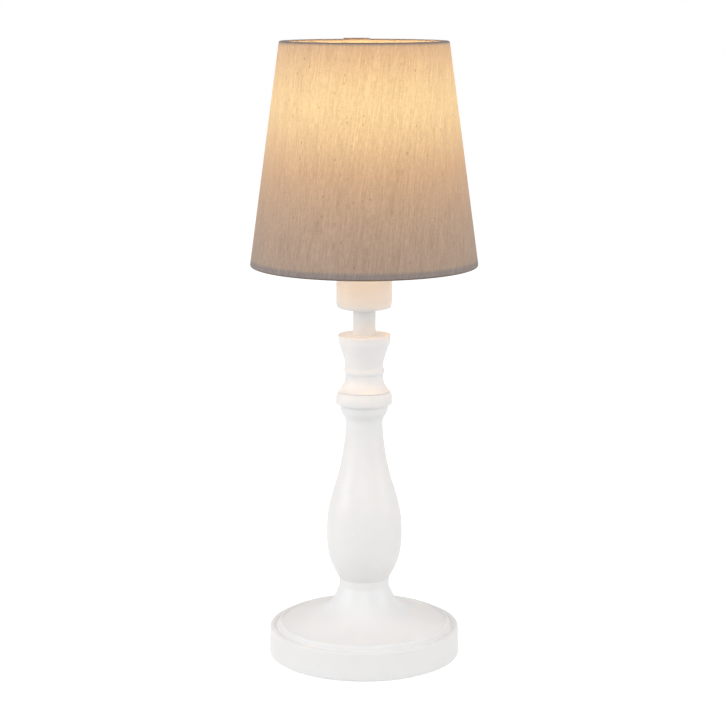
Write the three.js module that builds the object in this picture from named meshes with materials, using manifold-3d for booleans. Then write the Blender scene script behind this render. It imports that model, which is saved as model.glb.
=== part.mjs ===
// A small table lamp: a turned white foot and stem on a threaded rod, an E14 lampholder,
// a coned fabric shade on a wire frame, and a candle-shaped LED bulb.
// Millimetres, +Z up. The origin is the middle of the underside, and the front faces -Y.

import * as THREE from 'three';
import { mergeVertices } from 'three/addons/utils/BufferGeometryUtils.js';
import Module from 'manifold-3d';

const wasm = await Module();
wasm.setup();

// Fits
const clearance = 0.3;
const looseFit = 0.5;

// Pad under the foot
const padThickness = 0.8;
const padInset = 2.5;

// Foot, outside
const footDiameter = 103;
const footWallHeight = 14.8;
const footDraft = 0.5;
const footEdgeRound = 0.5;
const shoulderRound = 1.6;
const ledgeWidth = 2.4;
const coveWidth = 2.2;
const coveDepth = 0.5;
const beadWidth = 2.4;
const beadRise = 2.5;
const dishDrop = 0.7;
const footHeight = 41.2;
const footNeckDiameter = 26.9;
const footNeckHeight = 4.4;
const flareRun = 25.5;
const flareRise = 2.2;
const flareEase = 2.7;
const flareDrop = 6.6;

// Foot, underneath
const footWall = 10;
const pocketRoof = 2.6;
const wellDepth = 9;
const wellMargin = 2;
const tenonDiameter = 16;
const tenonHeight = 3.5;

// Weight and its screws
const weightThickness = 4;
const weightScrewCount = 3;
const screwDiameter = 3.2;
const screwLength = 8;
const screwHeadDiameter = 6.4;
const screwHeadHeight = 1.8;

// Cord outlet
const outletBore = 6.5;
const grommetWall = 1.05;
const grommetFlange = 1.2;
const grommetFlangeThickness = 1.4;

// Rod with its nut and washers
const rodDiameter = 10;
const rodBore = 8;
const rodTail = 1.1;
const washerDiameter = 22;
const washerThickness = 1.5;
const lockWasherDiameter = 17.6;
const lockWasherThickness = 0.9;
const lockWasherTeeth = 8;
const lockToothDepth = 1.3;
const toothFlank = 0.3;
const nutAcrossFlats = 14;
const nutThickness = 3;

// Stem body
const footJointDiameter = 27;
const bodyLength = 95.1;
const bellyDiameter = 40.7;
const bellyHeight = 25;
const waistDiameter = 19.6;
const waistDrop = 10.2;
const bodyTopDiameter = 26;
const bellySwell = 4;
const bellySwellHeight = 6.7;
const bellyHoldBelow = 12.2;
const bellyHoldAbove = 12.8;
const turnDiameter = 28.4;
const turnHeight = 56.5;
const turnLean = 0.29;
const turnHoldBelow = 13.3;
const turnHoldAbove = 11.7;
const waistHoldBelow = 1.5;
const waistHoldAbove = 5;
const waistFlare = 2.5;
const waistFlareDrop = 6.6;

// Stem collar
const collarLength = 16.4;
const torusDiameter = 30.4;
const torusHeight = 7.7;
const coveFootDiameter = 27.5;
const torusMiddle = 2.3;
const torusEdge = 0.3;
const torusShoulder = 2.7;
const coveLean = 1.75;
const coveLeanHeight = 1.6;
const coveHold = 4.6;

// Stem cup
const stemTopDiameter = 20.1;
const cupLength = 21.5;
const cupBeadDiameter = 21.6;
const cupBeadHeight = 4.1;
const cupDiameter = 28.1;
const cupRimHeight = 4.4;
const cupRimLean = 0.35;
const cupEdgeRound = 0.4;
const cupHold = 3.5;
const cupLean = 1.6;
const cupLeanDrop = 4;

// Neck tube
const neckTubeDiameter = 12.2;
const neckTubeLength = 14.2;

// Lampholder cap
const capDiameter = 29.6;
const capLength = 17.8;
const capWall = 1.4;
const capFloor = 3.5;
const capEdgeRise = 3.2;
const capBaseDiameter = 25;
const capBossDiameter = 16;
const capBossHeight = 9.5;
const capEdgeLean = 0.6;
const capEdgeLift = 0.2;
const capEdgeHold = 2.2;
const rodShort = 1.3;

// Lampholder skirt
const skirtDiameter = 28;
const skirtLength = 36;
const skirtWall = 1.8;
const spigotLength = 4;
const skirtFlangeDiameter = 33;
const skirtFlangeThickness = 2;
const skirtFlangeHeight = 14;
const skirtLip = 1.7;
const mouthClearance = 1.45;

// Lampholder insert, shell, contacts and terminals
const insertLength = 37;
const insertFlat = 2.6;
const insertFlatHeight = 10;
const shellWall = 0.4;
const shellLength = 21;
const shellClearance = 0.35;
const contactThickness = 0.4;
const contactWidth = 4;
const contactLength = 8;
const contactRise = 2.8;
const sideContactWidth = 3;
const terminalScrewDiameter = 2.6;
const terminalScrewLength = 5;
const terminalHeadDiameter = 4.8;
const terminalHeadHeight = 1.4;

// Ring that holds the shade
const shadeRingDiameter = 36;
const shadeRingHeight = 8;
const shadeRingFlangeDiameter = 38;
const shadeRingFlangeThickness = 1.6;
const shadeRingRibs = 20;
const shadeRingRibDepth = 0.8;
const ribFlank = 0.25;

// Shade
const shadeBottomDiameter = 120;
const shadeTopDiameter = 88;
const shadeHeight = 116.5;
const fitterHeight = 11;
const fabricThickness = 0.5;
const linerThickness = 0.6;
const linerInset = 0.8;
const hemThickness = 0.5;
const lowerHemHeight = 7;
const lowerHemLean = 1;
const upperHemHeight = 3.6;
const ringWire = 2.5;

// Spider of the shade
const fitterDiameter = 39;
const fitterThickness = 1.5;
const armWire = 2.5;
const armCount = 3;
const armLap = 1.3;

// Bulb
const bulbCapDiameter = 13.9;
const bulbCapLength = 19.9;
const bulbInsulatorLength = 3.2;
const bulbInsulatorDiameter = 6;
const bulbContactHeight = 1.2;
const bulbContactDiameter = 4.8;
const bulbNeckDiameter = 16.6;
const bulbNeckHeight = 2.2;
const bulbBodyDiameter = 34.4;
const bulbBodyHeight = 18.7;
const bulbFlare = 2.7;
const bulbFlareHeight = 6.6;
const bulbFlareHold = 6.6;
const bulbDiameter = 37;
const bulbDomeHeight = 57;
const bulbWideHeight = 11;
const bulbBulge = 3.3;
const bulbHold = 19.3;
const bulbTipWidth = 17.8;
const bulbGlass = 1.1;
const boardThickness = 1.6;
const boardDiameter = 24;

// Facets
const footSteps = 44;
const stemSteps = 28;
const shadeSteps = 48;
const smallSteps = 20;
const screwSteps = 8;
const wireSides = 6;
const plateSteps = 12;
const armSteps = 8;
const curveSteps = 4;
const bendSteps = 2;
const weldDistance = 1e-4;

// Heights, from the underside up
const footBase = padThickness;
const ledgeTop = footBase + footWallHeight;
const footTop = footBase + footHeight;
const bodyTop = footTop + bodyLength;
const collarTop = bodyTop + collarLength;
const cupTop = collarTop + cupLength;
const capBase = cupTop + neckTubeLength;
const capTop = capBase + capLength;
const flangeTop = capTop + skirtFlangeHeight + skirtFlangeThickness;
const rim = capTop + skirtLength;
const fitterTop = flangeTop + fitterThickness;
const shadeBase = flangeTop - fitterHeight;
const shadeTop = shadeBase + shadeHeight;

// Radii that several pieces share
const footRadius = footDiameter / 2;
const rodHole = rodDiameter / 2 + clearance;
const capHole = capDiameter / 2 - capWall;
const skirtHole = skirtDiameter / 2 - skirtWall;

// Under the foot: a pocket for the weight, and above it a well for the nut
const pocketTop = ledgeTop - pocketRoof;
const pocketRadius = footRadius - footWall - footDraft;
const wellTop = pocketTop + wellDepth;
const wellRadius = washerDiameter / 2 + wellMargin;
const weightBase = pocketTop - weightThickness;
const weightHole = wellRadius + looseFit;
const weightRadius = pocketRadius - looseFit;
const screwCircle = (weightHole + weightRadius) / 2;
const outletHeight = (footBase + pocketTop) / 2;
const grommetRadius = outletBore / 2 + grommetWall;
const grommetFlangeRadius = grommetRadius + grommetFlange;
const washerBase = wellTop - washerThickness;
const lockWasherBase = washerBase - lockWasherThickness;
const nutBase = lockWasherBase - nutThickness;
const rodBase = nutBase - rodTail;
const rodTop = capBase + capFloor + capBossHeight - rodShort;

// The bulb stands just clear of the rim, and the contacts reach up to it
const bulbCapTop = rim + clearance;
const bulbCapBase = bulbCapTop - bulbCapLength;
const bulbInsulatorBase = bulbCapBase - bulbInsulatorLength;
const bulbTip = bulbInsulatorBase - bulbContactHeight;
const bulbBodyTop = bulbCapTop + bulbBodyHeight;
const shellHole = bulbCapDiameter / 2 + shellClearance;
const shellRadius = shellHole + shellWall;
const shellTop = rim - skirtLip - clearance;
const shellBase = shellTop - shellLength;
const insertTop = rim - skirtLip - clearance;
const insertBase = insertTop - insertLength;
const insertRadius = skirtHole - clearance;
const insertFloor = bulbTip - clearance - contactRise - contactThickness;

const lamp = new THREE.Group();

// A closed mesh as a solid that can be joined and cut.
function solid(geometry) {
  const bare = geometry.clone();
  bare.deleteAttribute('normal');
  bare.deleteAttribute('uv');
  const welded = mergeVertices(bare, weldDistance);
  const corners = [];
  for (let i = 0; i < welded.index.count; i += 3) {
    const [a, b, c] = welded.index.array.slice(i, i + 3);
    if (a !== b && b !== c && c !== a) corners.push(a, b, c);
  }
  const mesh = new wasm.Mesh({
    numProp: 3,
    vertProperties: new Float32Array(welded.attributes.position.array),
    triVerts: new Uint32Array(corners),
  });
  return new wasm.Manifold(mesh);
}

// The mesh of a solid.
function geometryOf(body) {
  const { vertProperties, triVerts } = body.getMesh();
  const geometry = new THREE.BufferGeometry();
  geometry.setAttribute('position', new THREE.BufferAttribute(vertProperties, 3));
  geometry.setIndex(new THREE.BufferAttribute(triVerts, 1));
  geometry.computeVertexNormals();
  return geometry;
}

// Adds a named piece to the lamp.
function add(name, body, material) {
  const mesh = new THREE.Mesh(geometryOf(body), material.clone());
  mesh.name = name;
  lamp.add(mesh);
  return mesh;
}

// A solid of revolution about Z, from an outline of radius and height.
// A wall runs up its outside and down its inside.
function turned(outline, steps) {
  outline.closePath();
  const points = outline.getPoints(curveSteps);
  if (THREE.ShapeUtils.area(points) < 0) points.reverse();
  const geometry = new THREE.LatheGeometry(points, steps);
  return solid(geometry.rotateX(Math.PI / 2));
}

// Rounds a small corner of an outline, from where it is to a new point.
function bend(outline, cornerX, cornerY, x, y) {
  const from = outline.currentPoint.clone();
  const corner = new THREE.Vector2(cornerX, cornerY);
  const curve = new THREE.QuadraticBezierCurve(from, corner, new THREE.Vector2(x, y));
  curve.getPoints(bendSteps).slice(1).forEach((point) => outline.lineTo(point.x, point.y));
}

// An outline of straight lines.
function lines(...corners) {
  return new THREE.Path(corners.map(([radius, height]) => new THREE.Vector2(radius, height)));
}

// A ring of rectangular section, or a disc where the hole is 0.
function ring(hole, radius, low, high, steps) {
  return turned(lines([hole, low], [radius, low], [radius, high], [hole, high]), steps);
}

// A flat plate between two heights, from its outline seen from above.
function plate(shape, low, high) {
  const geometry = new THREE.ExtrudeGeometry(shape, {
    depth: 1,
    bevelEnabled: false,
    curveSegments: plateSteps,
  });
  const position = geometry.attributes.position;
  for (let i = 0; i < position.count; i += 1) {
    position.setZ(i, position.getZ(i) > 0 ? high : low);
  }
  return solid(geometry);
}

// A rod of round section along a curve.
function wire(curve, radius, steps) {
  const corner = (i) => {
    const turn = (i / wireSides) * 2 * Math.PI;
    return new THREE.Vector2(radius * Math.cos(turn), radius * Math.sin(turn));
  };
  const section = new THREE.Shape(Array.from({ length: wireSides }, (_, i) => corner(i)));
  return solid(new THREE.ExtrudeGeometry(section, { steps, extrudePath: curve }));
}

// A round hole in a plate, or with few sides a nut's outline.
function polygon(radius, sides, middle = new THREE.Vector3()) {
  const corners = evenly(sides).map((angle) => around(radius, angle).add(middle));
  return new THREE.Shape(corners.map((at) => new THREE.Vector2(at.x, at.y)));
}

// The point at an angle on a circle around the axis.
function around(radius, angle, height = 0) {
  return new THREE.Vector3(radius * Math.cos(angle), radius * Math.sin(angle), height);
}

// Angles that share a full turn evenly, the first of them at the front.
function evenly(count) {
  return Array.from({ length: count }, (_, i) => -Math.PI / 2 + (i * 2 * Math.PI) / count);
}

// A solid moved by a vector.
function moved(body, by) {
  return body.translate([by.x, by.y, by.z]);
}

// A screw that points up, its head's underside at height 0.
function panScrew(diameter, length, headDiameter, headHeight) {
  const outline = new THREE.Path();
  outline.moveTo(0, -headHeight);
  outline.lineTo(headDiameter / 4, -headHeight);
  bend(outline, headDiameter / 2, -headHeight, headDiameter / 2, 0);
  outline.lineTo(diameter / 2, 0);
  outline.lineTo(diameter / 2, length - diameter / 2);
  outline.lineTo(0, length);
  return turned(outline, screwSteps);
}

// Materials
const finish = (color, roughness, metalness = 0) =>
  new THREE.MeshStandardMaterial({ color, roughness, metalness });
const lacquer = finish(0xefeeec, 0.45);
const plastic = finish(0xf2efea, 0.35);
const steel = finish(0xb9bbbd, 0.35, 0.9);
const whiteSteel = finish(0xf0efec, 0.4);
const brass = finish(0xc9a45a, 0.3, 0.9);
const rubber = finish(0x8d8a86, 0.8);
const ceramic = finish(0xe9e5dc, 0.5);
const liner = finish(0xf4ede0, 0.5);
const fabric = finish(0xcfc1b2, 0.9);
const frosted = finish(0xfff3df, 0.4);
const blackGlass = finish(0x1c1a1a, 0.2);

// Foot

function footOutline() {
  const ledgeRadius = footRadius - footDraft;
  const coveRadius = ledgeRadius - ledgeWidth;
  const beadRadius = coveRadius - coveWidth;
  const dishRadius = beadRadius - beadWidth;
  const beadTop = ledgeTop + beadRise;
  const dishEdge = beadTop - dishDrop;
  const neckRadius = footNeckDiameter / 2;
  const neckBase = footTop - footNeckHeight;
  const tenonRadius = tenonDiameter / 2;
  const outline = new THREE.Path();
  outline.moveTo(footRadius - footEdgeRound, footBase);
  outline.lineTo(footRadius, footBase + footEdgeRound);
  outline.lineTo(ledgeRadius, ledgeTop - shoulderRound);
  bend(outline, ledgeRadius, ledgeTop, ledgeRadius - shoulderRound, ledgeTop);
  outline.lineTo(coveRadius, ledgeTop);
  bend(outline, coveRadius - coveWidth / 2, ledgeTop - 2 * coveDepth, beadRadius, ledgeTop);
  bend(outline, beadRadius, beadTop, (beadRadius + dishRadius) / 2, beadTop);
  outline.lineTo(dishRadius, dishEdge);
  outline.bezierCurveTo(
    dishRadius - flareRun, dishEdge + flareRise,
    neckRadius + flareEase, neckBase - flareDrop,
    neckRadius, neckBase,
  );
  outline.lineTo(footJointDiameter / 2, footTop);
  outline.lineTo(tenonRadius, footTop);
  outline.lineTo(tenonRadius, footTop + tenonHeight);
  outline.lineTo(rodHole, footTop + tenonHeight);
  outline.lineTo(rodHole, wellTop);
  outline.lineTo(wellRadius, wellTop);
  outline.lineTo(wellRadius, pocketTop);
  outline.lineTo(pocketRadius, pocketTop);
  outline.lineTo(pocketRadius, footBase);
  return outline;
}

// The bore for the cord, through the rear of the foot's wall.
function outletHole() {
  const hole = ring(0, grommetRadius + clearance, 0, 2 * footWall, smallSteps);
  const start = pocketRadius - footWall / 2;
  return moved(hole.rotate([-90, 0, 0]), new THREE.Vector3(0, start, outletHeight));
}

function weightScrewHole() {
  const end = weightBase + screwLength + looseFit;
  return ring(0, screwDiameter / 2 + clearance, weightBase, end, screwSteps);
}

function makeFoot() {
  const body = turned(footOutline(), footSteps);
  const holes = evenly(weightScrewCount).map(
    (angle) => moved(weightScrewHole(), around(screwCircle, angle)),
  );
  return holes.reduce((part, hole) => part.subtract(hole), body.subtract(outletHole()));
}

// A steel ring with a slot towards the rear for the cord.
function makeWeight() {
  const halfSlot = grommetFlangeRadius + looseFit;
  const outer = Math.asin(halfSlot / weightRadius);
  const inner = Math.asin(halfSlot / weightHole);
  const rear = Math.PI / 2;
  const shape = new THREE.Shape();
  shape.absarc(0, 0, weightRadius, rear + outer, rear - outer + 2 * Math.PI);
  shape.absarc(0, 0, weightHole, rear - inner + 2 * Math.PI, rear + inner, true);
  for (const angle of evenly(weightScrewCount)) {
    const at = around(screwCircle, angle);
    shape.holes.push(polygon(screwDiameter / 2 + clearance, screwSteps, at));
  }
  return plate(shape, weightBase, pocketTop);
}

// A bush with a flange on each side of the wall, its axis along Z.
function makeGrommet() {
  const wallInside = pocketRadius - looseFit;
  const wallOutside = footRadius + clearance;
  const outerEnd = wallOutside + grommetFlangeThickness;
  const innerEnd = wallInside - grommetFlangeThickness;
  const hole = outletBore / 2;
  const outline = lines(
    [hole, innerEnd], [grommetFlangeRadius, innerEnd], [grommetFlangeRadius, wallInside - clearance],
    [grommetRadius, wallInside - clearance], [grommetRadius, wallOutside],
    [grommetFlangeRadius, wallOutside], [grommetFlangeRadius, outerEnd - grommetFlangeThickness / 2],
    [grommetFlangeRadius - grommetFlangeThickness / 2, outerEnd], [hole, outerEnd],
  );
  return turned(outline, smallSteps);
}

function makeLockWasher() {
  const shape = new THREE.Shape();
  const tip = lockWasherDiameter / 2;
  const root = tip - lockToothDepth;
  const toothCorners = [[root, 0], [tip, toothFlank], [tip, 1 - toothFlank]];
  const points = [];
  for (let tooth = 0; tooth < lockWasherTeeth; tooth += 1) {
    for (const [radius, share] of toothCorners) {
      const at = around(radius, ((tooth + share) * 2 * Math.PI) / lockWasherTeeth);
      points.push(new THREE.Vector2(at.x, at.y));
    }
  }
  shape.setFromPoints(points);
  shape.holes.push(polygon(rodHole, smallSteps));
  return plate(shape, lockWasherBase, washerBase);
}

function makeNut() {
  const shape = polygon(nutAcrossFlats / Math.sqrt(3), 6);
  shape.holes.push(polygon(rodHole, smallSteps));
  return plate(shape, nutBase, lockWasherBase);
}

function buildBase() {
  add('base_pad', ring(0, footRadius - padInset, 0, footBase, footSteps), rubber);
  add('foot', makeFoot(), lacquer);
  add('weight_plate', makeWeight(), steel);
  evenly(weightScrewCount).forEach((angle, i) => {
    const screw = panScrew(screwDiameter, screwLength, screwHeadDiameter, screwHeadHeight);
    const at = around(screwCircle, angle, weightBase);
    add(`weight_screw_${i + 1}`, moved(screw, at), steel);
  });
  const grommet = add('cable_grommet', makeGrommet(), plastic);
  grommet.rotation.x = -Math.PI / 2;
  grommet.position.z = outletHeight;
  add('lower_washer', ring(rodHole, washerDiameter / 2, washerBase, wellTop, smallSteps), steel);
  add('lock_washer', makeLockWasher(), steel);
  add('lower_nut', makeNut(), steel);
  add('threaded_rod', ring(rodBore / 2, rodDiameter / 2, rodBase, rodTop, smallSteps), steel);
}

// Stem

// The inside of a stem piece: a hole for the rod, and a recess below for the tenon of the next piece.
function boreInto(outline, low, high) {
  const recess = tenonDiameter / 2 + clearance;
  outline.lineTo(rodHole, high);
  outline.lineTo(rodHole, low + tenonHeight + looseFit);
  outline.lineTo(recess, low + tenonHeight + looseFit);
  outline.lineTo(recess, low);
}

// The tenon on top of a stem piece.
function tenonOnto(outline, height) {
  outline.lineTo(tenonDiameter / 2, height);
  outline.lineTo(tenonDiameter / 2, height + tenonHeight);
  return height + tenonHeight;
}

function makeStemBody() {
  const belly = bellyDiameter / 2;
  const waist = waistDiameter / 2;
  const turn = turnDiameter / 2;
  const top = bodyTopDiameter / 2;
  const bellyAt = footTop + bellyHeight;
  const turnAt = footTop + turnHeight;
  const waistAt = bodyTop - waistDrop;
  const outline = new THREE.Path();
  outline.moveTo(footJointDiameter / 2, footTop);
  outline.bezierCurveTo(
    footJointDiameter / 2 + bellySwell, footTop + bellySwellHeight,
    belly, bellyAt - bellyHoldBelow,
    belly, bellyAt,
  );
  outline.bezierCurveTo(
    belly, bellyAt + bellyHoldAbove,
    turn + turnLean * turnHoldBelow, turnAt - turnHoldBelow,
    turn, turnAt,
  );
  outline.bezierCurveTo(
    turn - turnLean * turnHoldAbove, turnAt + turnHoldAbove,
    waist, waistAt - waistHoldBelow,
    waist, waistAt,
  );
  outline.bezierCurveTo(
    waist, waistAt + waistHoldAbove,
    waist + waistFlare, bodyTop - waistFlareDrop,
    top, bodyTop,
  );
  boreInto(outline, footTop, tenonOnto(outline, bodyTop));
  return turned(outline, stemSteps);
}

function makeStemCollar() {
  const torus = torusDiameter / 2;
  const low = bodyTopDiameter / 2;
  const coveFoot = coveFootDiameter / 2;
  const top = stemTopDiameter / 2;
  const torusTop = bodyTop + torusHeight;
  const outline = new THREE.Path();
  outline.moveTo(low, bodyTop);
  outline.quadraticCurveTo(torus, bodyTop + torusEdge, torus, bodyTop + torusMiddle);
  outline.quadraticCurveTo(torus, torusTop - torusShoulder, coveFoot, torusTop);
  outline.bezierCurveTo(
    coveFoot - coveLean, torusTop + coveLeanHeight,
    top, collarTop - coveHold,
    top, collarTop,
  );
  boreInto(outline, bodyTop, tenonOnto(outline, collarTop));
  return turned(outline, stemSteps);
}

function makeStemCup() {
  const low = stemTopDiameter / 2;
  const rimRadius = cupDiameter / 2;
  const beadTop = collarTop + cupBeadHeight;
  const flareTop = cupTop - cupRimHeight;
  const flare = rimRadius - cupRimLean;
  const bulge = cupBeadDiameter - low;
  const outline = new THREE.Path();
  outline.moveTo(low, collarTop);
  outline.quadraticCurveTo(bulge, collarTop + cupBeadHeight / 2, low, beadTop);
  outline.bezierCurveTo(
    low, beadTop + cupHold,
    flare - cupLean, flareTop - cupLeanDrop,
    flare, flareTop,
  );
  outline.lineTo(rimRadius, cupTop - cupEdgeRound);
  outline.lineTo(rimRadius - cupEdgeRound, cupTop);
  boreInto(outline, collarTop, cupTop);
  return turned(outline, stemSteps);
}

function buildStem() {
  add('stem_body', makeStemBody(), lacquer);
  add('stem_collar', makeStemCollar(), lacquer);
  add('stem_cup', makeStemCup(), lacquer);
  add('neck_tube', ring(rodHole, neckTubeDiameter / 2, cupTop, capBase, smallSteps), whiteSteel);
}

// Lampholder

function makeHolderCap() {
  const radius = capDiameter / 2;
  const floor = capBase + capFloor;
  const bossRadius = capBossDiameter / 2;
  const outline = new THREE.Path();
  outline.moveTo(rodHole, capBase);
  outline.lineTo(capBaseDiameter / 2, capBase);
  outline.bezierCurveTo(
    radius - capEdgeLean, capBase + capEdgeLift,
    radius, capBase + capEdgeRise - capEdgeHold,
    radius, capBase + capEdgeRise,
  );
  outline.lineTo(radius, capTop);
  outline.lineTo(capHole, capTop);
  outline.lineTo(capHole, floor + capWall);
  outline.lineTo(capHole - capWall, floor);
  outline.lineTo(bossRadius, floor);
  outline.lineTo(bossRadius, floor + capBossHeight);
  outline.lineTo(rodHole, floor + capBossHeight);
  return turned(outline, stemSteps);
}

function makeHolderSkirt() {
  const radius = skirtDiameter / 2;
  const flange = skirtFlangeDiameter / 2;
  const flangeBase = flangeTop - skirtFlangeThickness;
  const spigot = capHole - clearance;
  const mouth = bulbCapDiameter / 2 + mouthClearance;
  const outline = lines(
    [skirtHole, capTop - spigotLength], [spigot, capTop - spigotLength], [spigot, capTop],
    [radius, capTop], [radius, flangeBase], [flange, flangeBase], [flange, flangeTop],
    [radius, flangeTop], [radius, rim - skirtLip / 2], [radius - skirtLip / 2, rim], [mouth, rim],
    [mouth, rim - skirtLip], [skirtHole, rim - skirtLip],
  );
  return turned(outline, stemSteps);
}

// The middle of the flat on one side of the insert.
function terminalPlace(side, out = 0) {
  return new THREE.Vector3(side * (insertRadius - insertFlat + out), 0, insertBase + insertFlatHeight / 2);
}

// The insulating core: a socket above, and below it a block with a flat on each side for the terminals.
function makeInsert() {
  const socket = shellRadius + clearance;
  const core = turned(lines(
    [0, insertBase], [insertRadius, insertBase], [insertRadius, insertTop],
    [socket, insertTop], [socket, insertFloor], [0, insertFloor],
  ), stemSteps);
  const flat = solid(new THREE.BoxGeometry(2 * insertFlat, 2 * insertRadius, 2 * insertFlatHeight));
  const boreRadius = terminalScrewDiameter / 2 + clearance;
  const bore = ring(0, boreRadius, -looseFit, terminalScrewLength + looseFit, screwSteps);
  return [-1, 1].reduce((part, side) => part
    .subtract(moved(flat, new THREE.Vector3(side * insertRadius, 0, insertBase)))
    .subtract(moved(bore.rotate([0, -90 * side, 0]), terminalPlace(side))), core);
}

// A metal strip bent in the XZ plane, resting on the core.
function strip(profile, width) {
  const geometry = new THREE.ExtrudeGeometry(profile, {
    depth: width,
    bevelEnabled: false,
    curveSegments: curveSteps,
  });
  geometry.translate(0, 0, -width / 2);
  return moved(solid(geometry.rotateX(Math.PI / 2)), new THREE.Vector3(0, 0, insertFloor));
}

// A spring tongue that lies on the core and rises to the bulb's end contact.
function makeCentreContact() {
  const half = contactLength / 2;
  const crown = contactRise + contactThickness;
  const profile = new THREE.Shape();
  profile.moveTo(-half, 0);
  profile.lineTo(-half / 2, 0);
  profile.bezierCurveTo(-half / 4, 0, -half / 4, contactRise, half / 4, contactRise);
  profile.lineTo(half, contactRise - contactThickness);
  profile.lineTo(half, contactRise);
  profile.lineTo(half / 4, crown);
  profile.bezierCurveTo(-half / 4, crown, -half / 4, contactThickness, -half / 2, contactThickness);
  profile.lineTo(-half, contactThickness);
  return strip(profile, contactWidth);
}

// An angle that lies on the core and reaches up to the shell's lower edge.
function makeSideContact() {
  const reach = shellBase - clearance - insertFloor;
  const foot = shellRadius - contactLength / 2 - clearance;
  const corners = [
    [0, 0], [foot - looseFit, 0], [foot - looseFit, contactThickness],
    [contactThickness, contactThickness], [contactThickness, reach], [0, reach],
  ];
  const profile = new THREE.Shape(corners.map(([along, up]) => new THREE.Vector2(along - shellRadius, up)));
  return strip(profile, sideContactWidth);
}

// The ring that screws down on the skirt: ribbed for the fingers, with a flange below.
function makeShadeRing() {
  const low = fitterTop + clearance;
  const high = low + shadeRingHeight;
  const crest = shadeRingDiameter / 2;
  const shape = new THREE.Shape();
  const points = [];
  const ribCorners = [[crest - shadeRingRibDepth, 0], [crest, ribFlank], [crest, 1 - ribFlank]];
  for (let rib = 0; rib < shadeRingRibs; rib += 1) {
    for (const [radius, share] of ribCorners) {
      const at = around(radius, ((rib + share) * 2 * Math.PI) / shadeRingRibs);
      points.push(new THREE.Vector2(at.x, at.y));
    }
  }
  shape.setFromPoints(points);
  const flange = ring(0, shadeRingFlangeDiameter / 2, low, low + shadeRingFlangeThickness, stemSteps);
  const hole = ring(0, skirtDiameter / 2 + clearance, low - looseFit, high + looseFit, stemSteps);
  return plate(shape, low, high).add(flange).subtract(hole);
}

function makeTerminalScrew() {
  return panScrew(terminalScrewDiameter, terminalScrewLength, terminalHeadDiameter, terminalHeadHeight);
}

function buildHolder() {
  add('holder_cap', makeHolderCap(), plastic);
  add('holder_skirt', makeHolderSkirt(), plastic);
  add('holder_insert', makeInsert(), ceramic);
  add('screw_shell', ring(shellHole, shellRadius, shellBase, shellTop, smallSteps), brass);
  add('centre_contact', makeCentreContact(), brass);
  add('side_contact', makeSideContact(), brass);
  [-1, 1].forEach((side, i) => {
    const mesh = add(`terminal_screw_${i + 1}`, makeTerminalScrew(), steel);
    mesh.rotation.y = -side * Math.PI / 2;
    mesh.position.copy(terminalPlace(side, clearance));
  });
  add('shade_ring', makeShadeRing(), plastic);
}

// Shade

// The shade's outer radius at a height.
function shadeRadius(height) {
  const share = (height - shadeBase) / shadeHeight;
  return (shadeBottomDiameter + share * (shadeTopDiameter - shadeBottomDiameter)) / 2;
}

// A coned wall between two depths inside the shade's outer face.
function coneWall(outer, inner, low, high) {
  return turned(lines(
    [shadeRadius(low) - inner, low], [shadeRadius(low) - outer, low],
    [shadeRadius(high) - outer, high], [shadeRadius(high) - inner, high],
  ), shadeSteps);
}

const linerOuter = fabricThickness + clearance;
const linerInner = linerOuter + linerThickness;

// The height and radius of the wire ring in a hem; up is 1 at the lower edge and -1 at the upper.
function wirePlace(edge, up) {
  const height = edge + up * (hemThickness + clearance + ringWire / 2);
  return { height, radius: shadeRadius(height) - linerInner - clearance - ringWire / 2 };
}

function makeWireRing(edge, up) {
  const { height, radius } = wirePlace(edge, up);
  const torus = new THREE.TorusGeometry(radius, ringWire / 2, wireSides, shadeSteps);
  return moved(solid(torus), new THREE.Vector3(0, 0, height));
}

// The radii of a hem: where it starts under the fabric, and where it hangs behind its wire ring.
function hemRadii(edge, up) {
  return {
    outside: shadeRadius(edge) - linerOuter,
    behind: wirePlace(edge, up).radius - ringWire / 2 - clearance,
  };
}

// The fabric's lower edge, turned in under the wire ring and up against the liner.
// It is slit where each arm comes through it.
function makeLowerHem() {
  const { outside, behind } = hemRadii(shadeBase, 1);
  const at = wirePlace(shadeBase, 1);
  const lean = at.height + lowerHemLean;
  const end = shadeBase + lowerHemHeight;
  const against = shadeRadius(end) - linerInner - clearance;
  const hem = turned(lines(
    [outside, shadeBase], [outside, shadeBase + hemThickness], [behind, shadeBase + hemThickness],
    [behind, lean], [against, end], [against - hemThickness, end],
    [behind - hemThickness, lean], [behind - hemThickness, shadeBase],
  ), shadeSteps);
  const slit = new THREE.BoxGeometry(2 * ringWire, armWire + 2 * looseFit, 2 * lowerHemHeight);
  slit.translate(at.radius - ringWire, 0, shadeBase + hemThickness + lowerHemHeight);
  return evenly(armCount).reduce((part, angle) => part.subtract(solid(slit.clone().rotateZ(angle))), hem);
}

// The upper edge, turned in over its wire ring and cut short just below it.
function makeUpperHem() {
  const { outside, behind } = hemRadii(shadeTop, -1);
  const end = shadeTop - upperHemHeight;
  return turned(lines(
    [outside, shadeTop], [outside, shadeTop - hemThickness], [behind, shadeTop - hemThickness],
    [behind, end], [behind - hemThickness, end], [behind - hemThickness, shadeTop],
  ), shadeSteps);
}

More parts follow.
